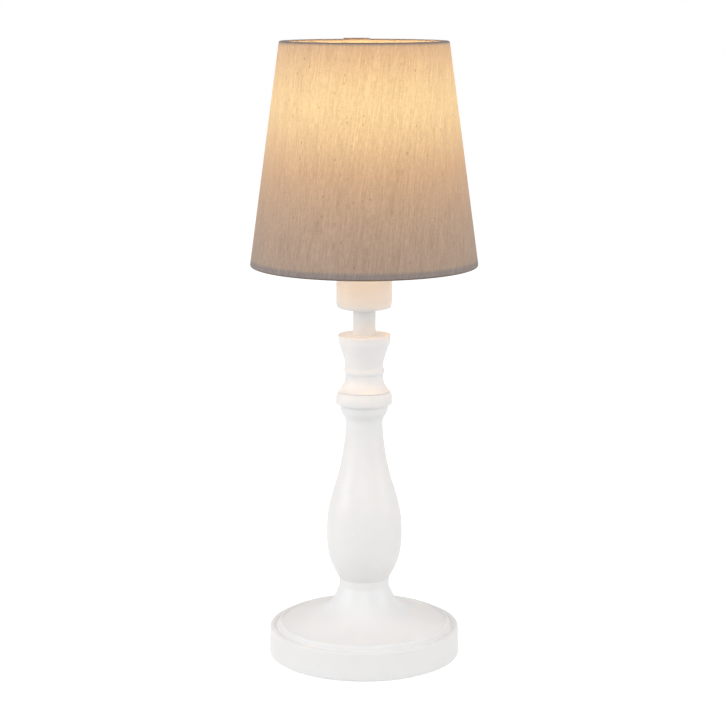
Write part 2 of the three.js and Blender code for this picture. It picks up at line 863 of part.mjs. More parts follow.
// A flat fitter ring with bent wire arms welded to its edge.
function makeSpider() {
  const at = wirePlace(shadeBase, 1);
  const edge = fitterDiameter / 2;
  const armTop = fitterTop - armWire / 2;
  const armEnd = at.radius - ringWire / 2 - clearance;
  const fitter = ring(skirtDiameter / 2 + looseFit, edge, flangeTop, fitterTop, stemSteps);
  return evenly(armCount).reduce((part, angle) => {
    const level = (armEnd - edge) / 3;
    const arm = new THREE.CubicBezierCurve3(
      around(edge - armLap, angle, armTop), around(edge + level, angle, armTop),
      around(armEnd - level, angle, at.height), around(armEnd, angle, at.height),
    );
    return part.add(wire(arm, armWire / 2, armSteps));
  }, fitter);
}

function buildShade() {
  add('shade_spider', makeSpider(), whiteSteel);
  add('bottom_ring', makeWireRing(shadeBase, 1), whiteSteel);
  add('top_ring', makeWireRing(shadeTop, -1), whiteSteel);
  const linerWall = coneWall(linerOuter, linerInner, shadeBase + linerInset, shadeTop - linerInset);
  add('shade_liner', linerWall, liner);
  add('shade_fabric', coneWall(0, fabricThickness, shadeBase, shadeTop), fabric);
  add('hem_bottom', makeLowerHem(), fabric);
  add('hem_top', makeUpperHem(), fabric);
}

// Bulb

function makeBulbContact() {
  const radius = bulbContactDiameter / 2;
  const outline = new THREE.Path();
  outline.moveTo(0, bulbTip);
  outline.lineTo(radius / 2, bulbTip);
  bend(outline, radius, bulbTip, radius, bulbInsulatorBase);
  outline.lineTo(0, bulbInsulatorBase);
  return turned(outline, smallSteps);
}

function makeBulbCap() {
  const radius = bulbCapDiameter / 2;
  return turned(lines(
    [0, bulbCapBase], [radius - bulbContactHeight, bulbCapBase], [radius, bulbCapBase + bulbContactHeight],
    [radius, bulbCapTop], [0, bulbCapTop],
  ), smallSteps);
}

function makeBulbBody() {
  const neck = bulbNeckDiameter / 2;
  const wide = bulbBodyDiameter / 2;
  const low = bulbCapTop + bulbNeckHeight;
  const outline = new THREE.Path();
  outline.moveTo(0, bulbCapTop);
  outline.lineTo(neck, bulbCapTop);
  outline.lineTo(neck, low);
  outline.bezierCurveTo(
    neck + bulbFlare, low + bulbFlareHeight,
    wide, bulbBodyTop - bulbFlareHold,
    wide, bulbBodyTop,
  );
  outline.lineTo(0, bulbBodyTop);
  return turned(outline, smallSteps);
}

// One face of the dome, set in from the outer one, from the body up to the tip.
function domeCurves(inset) {
  const base = new THREE.Vector2(bulbBodyDiameter / 2 - inset, bulbBodyTop);
  const widest = new THREE.Vector2(bulbDiameter / 2 - inset, bulbBodyTop + bulbWideHeight);
  const tip = new THREE.Vector2(0, bulbBodyTop + bulbDomeHeight - inset);
  return new THREE.Path()
    .moveTo(base.x, base.y)
    .quadraticCurveTo(widest.x, base.y + bulbBulge, widest.x, widest.y)
    .bezierCurveTo(widest.x, widest.y + bulbHold, bulbTipWidth / 2 - inset / 2, tip.y, tip.x, tip.y);
}

function makeBulbDome() {
  const outside = domeCurves(0).getPoints(curveSteps);
  const inside = domeCurves(bulbGlass).getPoints(bendSteps).reverse();
  return turned(new THREE.Path([...outside, ...inside]), smallSteps);
}

function buildBulb() {
  const collar = bulbCapDiameter / 2 - bulbContactHeight;
  add('bulb_contact', makeBulbContact(), steel);
  add('bulb_insulator', turned(lines(
    [0, bulbInsulatorBase], [bulbInsulatorDiameter / 2, bulbInsulatorBase],
    [collar, bulbCapBase], [0, bulbCapBase],
  ), smallSteps), blackGlass);
  add('bulb_cap', makeBulbCap(), steel);
  add('bulb_body', makeBulbBody(), plastic);
  const boardTop = bulbBodyTop + boardThickness;
  add('led_board', ring(0, boardDiameter / 2, bulbBodyTop, boardTop, smallSteps), ceramic);
  add('bulb_dome', makeBulbDome(), frosted);
}

buildBase();
buildStem();
buildHolder();
buildShade();
buildBulb();

export default lamp;
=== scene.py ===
# Looks of a small table lamp: turned white foot and stem, E14 lampholder, fabric shade lit by the lamp and by a
# painted glow, candle bulb.
# Sizes in the constants are millimetres; the meshes are made in metres.
import math

import bmesh
import bpy
from mathutils import Matrix, Vector


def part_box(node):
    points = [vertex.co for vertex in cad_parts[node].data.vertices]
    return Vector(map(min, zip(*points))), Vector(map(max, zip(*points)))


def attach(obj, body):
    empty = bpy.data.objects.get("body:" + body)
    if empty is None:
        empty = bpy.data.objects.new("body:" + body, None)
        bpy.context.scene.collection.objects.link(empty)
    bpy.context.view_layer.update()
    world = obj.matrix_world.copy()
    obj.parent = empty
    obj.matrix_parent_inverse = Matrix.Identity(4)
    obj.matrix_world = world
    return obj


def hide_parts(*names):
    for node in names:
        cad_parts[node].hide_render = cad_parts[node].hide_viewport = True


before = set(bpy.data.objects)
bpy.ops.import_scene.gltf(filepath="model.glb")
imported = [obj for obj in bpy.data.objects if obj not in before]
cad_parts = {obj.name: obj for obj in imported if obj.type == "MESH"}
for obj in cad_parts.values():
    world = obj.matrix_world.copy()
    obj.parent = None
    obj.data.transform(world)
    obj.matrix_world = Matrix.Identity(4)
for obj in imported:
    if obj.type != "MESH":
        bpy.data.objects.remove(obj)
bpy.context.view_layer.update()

MM = 0.001
TURN = 2 * math.pi

# Facets
FOOT_STEPS = 192
STEM_STEPS = 128
SHADE_STEPS = 288
SMALL_STEPS = 96
ROUND_STEPS = 6
THREAD_ROWS = 10
SHARP_ANGLE = math.radians(38)

# Fits and small edges
GAP = 0.3
LOOSE = 0.5
EDGE = 0.3
FINE_EDGE = 0.12

# Pitches and depths of the threads
M10_PITCH = 1.0
M10_DEPTH = 0.6
E14_PITCH = 2.82
SHELL_DEPTH = 0.45
CAP_DEPTH = 0.5
RING_PITCH = 2.0
RING_DEPTH = 0.7


def span(node):
    """A CAD node's lowest and highest height and its radius, in millimetres."""
    low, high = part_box(node)
    return low.z / MM, high.z / MM, high.x / MM


# Camera, at the photograph's angle

CAMERA_DISTANCE = 1027
CAMERA_HEIGHT = 353.8
CAMERA_ASIDE = -1.16
CAMERA_DIP = math.radians(10.68)
CAMERA_LENS = 97.9
SENSOR = 36


def new_in_scene(name, data):
    made = bpy.data.objects.new(name, data)
    bpy.context.scene.collection.objects.link(made)
    return made


def add_camera():
    data = bpy.data.cameras.new("camera")
    data.sensor_width = SENSOR
    data.lens = CAMERA_LENS
    data.clip_start = 0.01
    camera = new_in_scene("camera", data)
    camera.location = Vector((CAMERA_ASIDE, -CAMERA_DISTANCE, CAMERA_HEIGHT)) * MM
    camera.rotation_euler = (math.pi / 2 - CAMERA_DIP, 0, 0)
    bpy.context.scene.camera = camera


# Outlines and meshes


class Outline:
    """An outline of radius and height, in millimetres, drawn from point to point."""

    def __init__(self, radius, height):
        self.points = [(radius, height)]

    def line(self, radius, height, steps=1):
        r0, z0 = self.points[-1]
        for i in range(1, steps + 1):
            share = i / steps
            self.points.append((r0 + share * (radius - r0), z0 + share * (height - z0)))
        return self

    def bend(self, corner_radius, corner_height, radius, height, steps=ROUND_STEPS):
        """Rounds a corner, from where the outline is to a new point."""
        r0, z0 = self.points[-1]
        for i in range(1, steps + 1):
            t = i / steps
            a, b, c = (1 - t) ** 2, 2 * t * (1 - t), t * t
            self.points.append((a * r0 + b * corner_radius + c * radius, a * z0 + b * corner_height + c * height))
        return self

    def curve(self, r1, z1, r2, z2, radius, height, steps):
        """A Bezier curve with two handles."""
        r0, z0 = self.points[-1]
        for i in range(1, steps + 1):
            t = i / steps
            a, b, c, d = (1 - t) ** 3, 3 * t * (1 - t) ** 2, 3 * t * t * (1 - t), t**3
            self.points.append((a * r0 + b * r1 + c * r2 + d * radius, a * z0 + b * z1 + c * z2 + d * height))
        return self


def rounded(corners, radius, steps=ROUND_STEPS):
    """The points of a path with its inner corners rounded."""
    points = [Vector(corners[0])]
    for before, corner, after in zip(corners, corners[1:], corners[2:]):
        corner = Vector(corner)
        ways = [Vector(before) - corner, Vector(after) - corner]
        reach = min(radius, *(way.length / 2 for way in ways))
        start, end = (corner + way.normalized() * reach for way in ways)
        for i in range(steps + 1):
            t = i / steps
            points.append((1 - t) ** 2 * start + 2 * t * (1 - t) * corner + t * t * end)
    points.append(Vector(corners[-1]))
    return [p for p, q in zip(points, points[1:]) if (p - q).length > 1e-4] + points[-1:]


def from_bmesh(name, bm):
    mesh = bpy.data.meshes.new(name)
    bm.to_mesh(mesh)
    bm.free()
    return new_in_scene(name, mesh)


def new_object(name, bm):
    """A smooth-shaded object from a bmesh in millimetres."""
    bmesh.ops.remove_doubles(bm, verts=bm.verts, dist=1e-5)
    bmesh.ops.recalc_face_normals(bm, faces=bm.faces)
    bmesh.ops.scale(bm, vec=(MM, MM, MM), verts=bm.verts)
    made = from_bmesh(name, bm)
    smooth(made.data)
    return made


def smooth(mesh):
    mesh.polygons.foreach_set("use_smooth", [True] * len(mesh.polygons))
    mesh.set_sharp_from_angle(angle=SHARP_ANGLE)


def turned(name, outline, steps, shape=None, angles=None):
    """A solid of revolution about Z. shape, if there is one, moves each point by its angle."""
    points = outline.points if isinstance(outline, Outline) else outline
    angles = angles or [TURN * i / steps for i in range(steps)]
    bm = bmesh.new()
    columns = []
    for angle in angles:
        column = []
        for radius, height in points:
            r, z = shape(angle, radius, height) if shape else (radius, height)
            column.append(bm.verts.new((r * math.cos(angle), r * math.sin(angle), z)))
        columns.append(column)
    for here, there in zip(columns, columns[1:] + columns[:1]):
        for i in range(len(points)):
            j = (i + 1) % len(points)
            if points[i][0] > 0 or points[j][0] > 0:
                bm.faces.new((here[i], there[i], there[j], here[j]))
    return new_object(name, bm)


def threaded(pitch, depth, low, high, fade=1.0):
    """A shape for turned: a right-hand thread cut into what lies between two heights."""

    def shape(angle, radius, height):
        ends = min((height - low) / fade, (high - height) / fade, 1)
        if ends <= 0:
            return radius, height
        wave = 0.5 - 0.5 * math.cos(TURN * height / pitch - angle)
        return radius - depth * ends * wave, height

    return shape


def tube(bm, points, radius, sides):
    """A round bar along points, closed at both ends, with its section kept from twisting."""
    rings = []
    side = Vector((0, 0, 1)).cross(points[1] - points[0]).normalized()
    for i, point in enumerate(points):
        along = (points[min(i + 1, len(points) - 1)] - points[max(i - 1, 0)]).normalized()
        side = (side - along * side.dot(along)).normalized()
        up = along.cross(side)
        ring = []
        for k in range(sides):
            turn = TURN * k / sides
            ring.append(bm.verts.new(point + radius * (math.cos(turn) * side + math.sin(turn) * up)))
        rings.append(ring)
    for here, there in zip(rings, rings[1:]):
        for k in range(sides):
            bm.faces.new((here[k], here[(k + 1) % sides], there[(k + 1) % sides], there[k]))
    bm.faces.new(rings[0][::-1])
    bm.faces.new(rings[-1])


def combine(target, others, operation):
    """Joins others to target, or cuts them from it, and removes them."""
    for other in others:
        boolean = target.modifiers.new("combine", "BOOLEAN")
        boolean.operation = operation
        boolean.solver = "EXACT"
        boolean.object = other
        bpy.context.view_layer.update()
        graph = bpy.context.evaluated_depsgraph_get()
        mesh = bpy.data.meshes.new_from_object(target.evaluated_get(graph))
        target.modifiers.clear()
        target.data = mesh
        bpy.data.objects.remove(other)
    smooth(target.data)


def around(radius, angle, height):
    return Vector((radius * math.cos(angle), radius * math.sin(angle), height))


def thirds():
    """Three even angles, the first of them at the front."""
    return [-math.pi / 2 + i * TURN / 3 for i in range(3)]


# Materials

WHITE = (1, 1, 1, 1)


class Look:
    """The nodes of a material or a world, and short ways to add to them."""

    def __init__(self, name, world=False):
        self.owner = (bpy.data.worlds if world else bpy.data.materials).new(name)
        self.owner.use_nodes = True
        self.tree = self.owner.node_tree
        self.tree.nodes.clear()
        self.output = self.tree.nodes.new("ShaderNodeOutputWorld" if world else "ShaderNodeOutputMaterial")

    def node(self, kind, settings=None, **inputs):
        made = self.tree.nodes.new("ShaderNode" + kind)
        for name, value in (settings or {}).items():
            setattr(made, name, value)
        sockets = {s.name.lower().replace(" ", "_"): s for s in made.inputs if s.enabled}
        for name, value in inputs.items():
            self.feed(sockets[name], value)
        return made

    def feed(self, socket, value):
        if isinstance(value, bpy.types.NodeSocket):
            self.tree.links.new(value, socket)
        else:
            socket.default_value = value

    def math(self, operation, *values):
        made = self.tree.nodes.new("ShaderNodeMath")
        made.operation = operation
        for socket, value in zip(made.inputs, values):
            self.feed(socket, value)
        return made.outputs[0]

    def times(self, first, second):
        return self.math("MULTIPLY", first, second)

    def place(self, *scale):
        """The place on the piece at rest, in millimetres times scale."""
        at = self.node("TexCoord").outputs["Object"]
        scale = [s / MM for s in (scale or (1, 1, 1))]
        return self.node("Mapping", vector=at, scale=scale).outputs[0]

    def round_place(self):
        """The distance from the stem's axis and the height, in millimetres."""
        x, y, z = self.node("SeparateXYZ", vector=self.place()).outputs
        radius = self.math("SQRT", self.math("ADD", self.times(x, x), self.times(y, y)))
        return radius, z

    def noise(self, vector, scale, detail=3.0, roughness=0.5):
        return self.node("TexNoise", vector=vector, scale=scale, detail=detail, roughness=roughness).outputs["Fac"]

    def ramp(self, value, low, high, to_low=0.0, to_high=1.0, kind="SMOOTHSTEP"):
        settings = {"interpolation_type": kind}
        made = self.node("MapRange", settings, value=value, from_min=low, from_max=high, to_min=to_low, to_max=to_high)
        return made.outputs[0]

    def blend(self, share, first, second):
        made = self.tree.nodes.new("ShaderNodeMix")
        made.data_type = "RGBA"
        self.feed(made.inputs[0], share)
        for socket, value in ((made.inputs[6], first), (made.inputs[7], second)):
            self.feed(socket, value if isinstance(value, bpy.types.NodeSocket) else (*value, 1))
        return made.outputs[2]

    def bump(self, height, depth, strength=1.0):
        """A normal from a height of 0 to 1 and its depth in millimetres."""
        return self.node("Bump", height=height, distance=depth * MM, strength=strength).outputs[0]

    def mix(self, share, first, second):
        made = self.tree.nodes.new("ShaderNodeMixShader")
        self.feed(made.inputs[0], share)
        self.tree.links.new(first.outputs[0], made.inputs[1])
        self.tree.links.new(second.outputs[0], made.inputs[2])
        return made

    def show(self, shader):
        self.tree.links.new(shader.outputs[0], self.output.inputs["Surface"])
        return self.owner

    def solid(self, base, rough, normal, **more):
        """Shows a plain surface that no light passes."""
        return self.show(self.node("BsdfPrincipled", base_color=base, roughness=rough, normal=normal, **more))

    def clear_to_lamp(self, shader, tint=WHITE, side=None):
        """Shows a shader that shadow rays pass, so that the lamp lights what lies behind, on one side or on both."""
        ray = self.node("LightPath").outputs["Is Shadow Ray"]
        share = ray if side is None else self.times(side, ray)
        return self.show(self.mix(share, shader, self.node("BsdfTransparent", color=tint)))


def painted(name, colour, deep, roughness, rings):
    """Satin paint on turned wood, with faint rings from the lathe and a fine orange peel."""
    look = Look(name)
    radius, height = look.round_place()
    flat = look.node("CombineXYZ", x=radius, z=height).outputs[0]
    ring = look.noise(flat, 1.1, 2.0)
    peel = look.noise(look.place(), 0.9, 2.0)
    broad = look.noise(look.place(), 0.06)
    fine = look.noise(look.place(), 0.35, 4.0)
    relief = look.math("ADD", look.times(ring, rings), look.times(peel, 0.35))
    base = look.blend(look.ramp(broad, 0.3, 0.7), deep, colour)
    rough = look.ramp(fine, 0.25, 0.75, roughness - 0.05, roughness + 0.06)
    return look.solid(base, rough, look.bump(relief, 0.03), ior=1.47)


def plastic(name, colour, deep, roughness, grain=0.012):
    """Moulded plastic: even colour, fine grain and a slightly uneven gloss."""
    look = Look(name)
    cloud = look.noise(look.place(), 0.12)
    fine = look.noise(look.place(), 2.2)
    base = look.blend(look.ramp(cloud, 0.3, 0.7), deep, colour)
    rough = look.ramp(fine, 0.3, 0.7, roughness - 0.04, roughness + 0.05)
    return look.solid(base, rough, look.bump(fine, grain))


def metal(name, colour, deep, roughness, brushed=(0.4, 0.4, 8.0), relief=0.006):
    """Metal with fine drawn or turned lines and a little tarnish."""
    look = Look(name)
    lines = look.noise(look.place(*brushed), 1.0)
    cloud = look.noise(look.place(), 0.25, 4.0)
    base = look.blend(look.ramp(cloud, 0.3, 0.75), colour, deep)
    rough = look.ramp(lines, 0.2, 0.8, roughness - 0.08, roughness + 0.1)
    return look.solid(base, rough, look.bump(lines, relief), metallic=1.0)


def speckled(name, colour, deep, roughness, scale, relief):
    """A matte, grainy solid such as rubber or unglazed ceramic."""
    look = Look(name)
    grain = look.noise(look.place(), scale, 5.0, 0.65)
    base = look.blend(look.ramp(grain, 0.35, 0.65), deep, colour)
    rough = look.ramp(grain, 0.3, 0.7, roughness - 0.06, roughness + 0.06)
    return look.solid(base, rough, look.bump(grain, relief))


# Light from the bulb: the lamp inside it, and a glow painted on the shade's cloth as emission

# GLOW_HEIGHT is where the lamp sits and where the painted glow is centred. The other GLOW constants set the painted
# glow, and the LAMP ones set the real lamp.
GLOW_HEIGHT = 294
PAINTED_GLOW_REACH = 50
PAINTED_GLOW_NEAR = 0.319
PAINTED_GLOW_EVEN = 0.085
PAINTED_GLOW_WEAK = (1.0, 0.54, 0.12)
PAINTED_GLOW_FULL = (1.0, 0.84, 0.30)
LAMP_COLOUR = (1.0, 0.57, 0.19)
LAMP_POWER = 0.46
LAMP_RADIUS = 13


def painted_glow_level(look):
    """How strongly the painted glow shows on the shade: 1 straight out from the bulb at the reach, and less further
    away.
    """
    radius, height = look.round_place()
    rise = look.math("SUBTRACT", height, GLOW_HEIGHT)
    square = look.math("ADD", look.times(radius, radius), look.times(rise, rise))
    facing = look.math("DIVIDE", radius, look.math("SQRT", square))
    return look.times(facing, look.math("DIVIDE", PAINTED_GLOW_REACH**2, square))


def between(look, low, high, edge, below, above):
    """1 between two heights, and other values below and above them, with soft edges."""
    height = look.round_place()[1]
    lower = look.ramp(height, low - edge, low + edge, below, 1.0)
    upper = look.ramp(height, high - edge, high + edge, 1.0, above)
    return look.times(lower, upper)


# Weave of the fabric

WEAVE = 0.9
CLOTH_LEAN = math.radians(7)
FABRIC = (0.525, 0.468, 0.475)
FABRIC_DARK = (0.266, 0.235, 0.240)
FABRIC_THROUGH = (0.160, 0.128, 0.068)
FABRIC_THROUGH_DARK = tuple(0.80 * c for c in FABRIC_THROUGH)
FLECK = (0.30, 0.13, 0.09)
FLECK_THROUGH = (0.13, 0.06, 0.03)
FLECK_CELL = (4.0, 9.0)
THROUGH_SHARE = 0.42


def cloth_coordinates(look):
    """Across and along the cut cloth, in millimetres, from the flat pattern."""
    flat = look.node("UVMap", {"uv_map": "flat"}).outputs[0]
    return look.node("Mapping", vector=flat, scale=(1 / MM, 1 / MM, 1), rotation=(0, 0, -CLOTH_LEAN)).outputs[0]


def stretched(look, vector, across, along, detail=2.0):
    """Noise in streaks down the cloth."""
    scaled = look.node("Mapping", vector=vector, scale=(1 / across, 1 / along, 1)).outputs[0]
    return look.noise(scaled, 1.0, detail)


def threads(look, vector):
    """The cloth's shade of thread, about 0 to 1, and the height of the weave."""
    broad = stretched(look, vector, 5.0, 45.0)
    slubs = stretched(look, vector, 0.80, 14.0, 3.0)
    fine = stretched(look, vector, 0.45, 3.4)
    weft = stretched(look, vector, 3.5, 0.6)
    x, y, _ = look.node("SeparateXYZ", vector=vector).outputs
    warp_wave = look.math("SINE", look.times(x, TURN / WEAVE))
    weft_wave = look.math("SINE", look.times(y, TURN / WEAVE))
    woven = look.times(warp_wave, weft_wave)
    total = look.times(broad, 0.14)
    for part, share in ((slubs, 0.36), (fine, 0.34), (weft, 0.16)):
        total = look.math("ADD", total, look.times(part, share))
    total = look.math("ADD", total, look.times(woven, 0.012))
    relief = look.math("ADD", look.times(woven, 0.5), look.times(total, 2.0))
    return total, relief


def flecks(look, vector):
    """Short dark slubs here and there, 1 in a fleck and 0 elsewhere."""
    across, along = FLECK_CELL
    scaled = look.node("Mapping", vector=vector, scale=(1 / across, 1 / along, 1)).outputs[0]
    cells = look.node("TexVoronoi", {"feature": "F1", "voronoi_dimensions": "2D"}, vector=scaled, scale=1.0)
    chosen = look.ramp(look.node("SeparateColor", color=cells.outputs["Color"]).outputs[0], 0.78, 0.95)
    spot = look.ramp(cells.outputs["Distance"], 0.05, 0.11, 1.0, 0.0)
    return look.times(spot, chosen)


SHADE_LOW, SHADE_HIGH, SHADE_RADIUS = span("shade_fabric")
# Heights at which the painted glow fades out at the hems, and the share of it kept there: a painted shadow of the
# folded hems and wire rings.
HEM_TOP_LIGHT = 0.9
HEM_LOW_LIGHT = 3.5
HEM_TOP_SHARE = 0.05
HEM_LOW_SHARE = 0.30
# Painted shade along the folded top edge: its height and its dark colour.
FOLD_SHADE_HEIGHT = 0.45
TOP_FOLD_PAINTED_SHADE = (0.17, 0.15, 0.155)
# Painted shade along the lower edge: its dark brown colour.
LOW_FOLD_PAINTED_SHADE = (0.10, 0.075, 0.065)


def shade_cloth():
    """The woven cloth with its folded hems, and the bulb's light through it: partly real, through the translucent
    share, and partly a glow painted on as emission.
    """
    look = Look("shade_cloth")
    vector = cloth_coordinates(look)
    shade, relief = threads(look, vector)
    dark = flecks(look, vector)
    tone = look.ramp(shade, 0.30, 0.70, kind="LINEAR")
    base = look.blend(tone, FABRIC_DARK, FABRIC)
    base = look.blend(look.times(dark, 0.4), base, FLECK)
    # Painted shade: a dark band along the top folded edge.
    top_fold_shade = look.ramp(look.round_place()[1], SHADE_HIGH - 2 * FOLD_SHADE_HEIGHT, SHADE_HIGH - FOLD_SHADE_HEIGHT / 2)
    base = look.blend(look.times(top_fold_shade, 0.8), base, TOP_FOLD_PAINTED_SHADE)
    # Painted shade: a thin dark brown line along the lower edge.
    low_fold_shade = look.ramp(look.round_place()[1], SHADE_LOW + 0.3, SHADE_LOW + 1.0, 1.0, 0.0)
    base = look.blend(look.times(low_fold_shade, 0.9), base, LOW_FOLD_PAINTED_SHADE)
    # Painted glow: emission strongest level with the bulb and fading away from it, cut at the hems and varied with the
    # weave and the flecks.
    level = painted_glow_level(look)
    light = look.math("ADD", look.times(level, PAINTED_GLOW_NEAR), PAINTED_GLOW_EVEN)
    # Painted shadow of the hems and wire rings on the painted glow.
    low_hem, top_hem = SHADE_LOW + HEM_LOW_LIGHT, SHADE_HIGH - HEM_TOP_LIGHT
    painted_glow_past_hems = between(look, low_hem, top_hem, 0.9, HEM_LOW_SHARE, HEM_TOP_SHARE)
    thin = look.ramp(shade, 0.25, 0.75, 0.70, 1.30, kind="LINEAR")
    open_weave = look.math("SUBTRACT", 1.0, look.times(dark, 0.42))
    depth = look.math("SUBTRACT", look.times(shade, 0.8), look.times(dark, 0.45))
    full = look.math("ADD", look.ramp(level, 0.58, 1.20, kind="LINEAR"), look.math("SUBTRACT", depth, 0.4))
    # The painted glow's emission strength.
    strength = look.times(look.times(light, painted_glow_past_hems), look.times(thin, open_weave))
    normal = look.bump(relief, 0.05, 0.6)
    face = look.node(
        "BsdfPrincipled",
        base_color=base,
        roughness=0.92,
        normal=normal,
        emission_color=look.blend(full, PAINTED_GLOW_WEAK, PAINTED_GLOW_FULL),
        emission_strength=look.math("DIVIDE", strength, 1 - THROUGH_SHARE),
        specular_ior_level=0.2,
        sheen_weight=0.4,
        sheen_roughness=0.6,
        sheen_tint=(0.93, 0.90, 0.88, 1),
    )
    through_colour = look.blend(tone, FABRIC_THROUGH_DARK, FABRIC_THROUGH)
    through_colour = look.blend(look.times(dark, 0.5), through_colour, FLECK_THROUGH)
    through = look.node("BsdfTranslucent", color=through_colour, normal=normal)
    cloth = look.mix(THROUGH_SHARE, face, through)
    return look.clear_to_lamp(cloth, side=look.node("NewGeometry").outputs["Backfacing"])


def shade_liner_film():
    """The stiff white film behind the fabric."""
    look = Look("liner_film")
    cloud = look.noise(look.place(), 0.08)
    fine = look.noise(look.place(), 1.5)
    base = look.blend(look.ramp(cloud, 0.3, 0.7), (0.80, 0.76, 0.69), (0.86, 0.83, 0.77))
    rough = look.ramp(fine, 0.3, 0.7, 0.42, 0.54)
    face = look.node("BsdfPrincipled", base_color=base, roughness=rough, normal=look.bump(fine, 0.01))
    through = look.node("BsdfTranslucent", color=(0.80, 0.72, 0.60, 1))
    return look.clear_to_lamp(look.mix(0.35, face, through), (0.96, 0.94, 0.90, 1))


BULB_LOW, BULB_HIGH, BULB_RADIUS = span("bulb_dome")


def frosted_glass():
    """The lit frosted dome: brightest round the light source, and dimmer towards the neck and the tip."""
    look = Look("frosted_dome")
    height = look.round_place()[1]
    cloud = look.noise(look.place(), 0.2, 2.0)
    fine = look.noise(look.place(), 3.0)
    base = look.blend(look.ramp(cloud, 0.3, 0.7), (0.86, 0.82, 0.74), (0.90, 0.87, 0.80))
    rise = look.ramp(height, BULB_LOW, BULB_LOW + 16, 0.72, 1.0)
    fall = look.ramp(height, BULB_HIGH - 34, BULB_HIGH, 1.0, 0.74)
    strength = look.times(look.times(rise, fall), 1.15)
    face = look.node(
        "BsdfPrincipled",
        base_color=base,
        roughness=0.34,
        normal=look.bump(fine, 0.008),
        emission_color=(1.0, 0.80, 0.52, 1),
        emission_strength=strength,
    )
    return look.clear_to_lamp(face)


looks = {
    "lacquer": painted("white_lacquer", (0.870, 0.872, 0.874), (0.852, 0.854, 0.856), 0.38, 0.8),
    "white_steel": plastic("white_coating", (0.85, 0.842, 0.83), (0.83, 0.82, 0.805), 0.4, 0.02),
    "holder": plastic("holder_plastic", (0.85, 0.84, 0.82), (0.83, 0.82, 0.80), 0.32),
    "grommet": plastic("grommet_plastic", (0.80, 0.79, 0.77), (0.76, 0.75, 0.73), 0.5, 0.02),
    "bulb_body": plastic("bulb_plastic", (0.86, 0.85, 0.83), (0.84, 0.83, 0.81), 0.3),
    "black_glass": plastic("black_glass", (0.03, 0.03, 0.032), (0.02, 0.02, 0.02), 0.15, 0.004),
    "steel": metal("zinc_steel", (0.62, 0.63, 0.64), (0.5, 0.5, 0.49), 0.34),
    "brass": metal("contact_brass", (0.74, 0.58, 0.30), (0.60, 0.45, 0.22), 0.3),
    "bulb_cap": metal("cap_metal", (0.74, 0.74, 0.73), (0.62, 0.62, 0.60), 0.28),
    "solder": metal("solder", (0.66, 0.66, 0.64), (0.5, 0.5, 0.48), 0.4, (1, 1, 1), 0.05),
    "pad": speckled("pad_rubber", (0.72, 0.71, 0.69), (0.64, 0.63, 0.61), 0.85, 1.6, 0.05),
    "core": speckled("white_ceramic", (0.80, 0.78, 0.73), (0.74, 0.72, 0.67), 0.6, 0.9, 0.02),
    "board": speckled("board_white", (0.82, 0.82, 0.79), (0.76, 0.76, 0.73), 0.5, 1.2, 0.01),
    "fabric": shade_cloth(),
    "liner": shade_liner_film(),
    "frosted": frosted_glass(),
}


def finish_piece(piece, slot, body, *nodes):
    """Dresses a piece, seats it on its body and lets it stand for CAD nodes."""
    piece.data.materials.clear()
    piece.data.materials.append(looks[slot])
    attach(piece, body)
    if nodes:
        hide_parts(*nodes)


# Foot

FOOT_WALL = 14.8
FOOT_DRAFT = 0.5
FOOT_EDGE = 0.6
SHOULDER = 1.0
LEDGE = 2.4
COVE = 2.2
COVE_DEPTH = 0.75
BEAD = 2.4
BEAD_RISE = 2.5
DISH_DROP = 0.7
NECK_RADIUS = 13.45
NECK_HEIGHT = 4.4
FLARE_RUN = 25.5
FLARE_RISE = 2.2
FLARE_EASE = 2.7
FLARE_DROP = 6.6
FOOT_JOINT = 13.5
TENON_RADIUS = 8
TENON_HEIGHT = 3.5
FOOT_LOW, FOOT_TENON_TOP, FOOT_RADIUS = span("foot")
FOOT_TOP = FOOT_TENON_TOP - TENON_HEIGHT
POCKET_TOP = span("weight_plate")[1]
POCKET_RADIUS = span("weight_plate")[2] + LOOSE
WELL_TOP = span("lower_washer")[1]
WELL_RADIUS = 13
ROD_HOLE = span("threaded_rod")[2] + GAP
SCREW_HOLE = 1.9
GROMMET_SLEEVE = 4.3


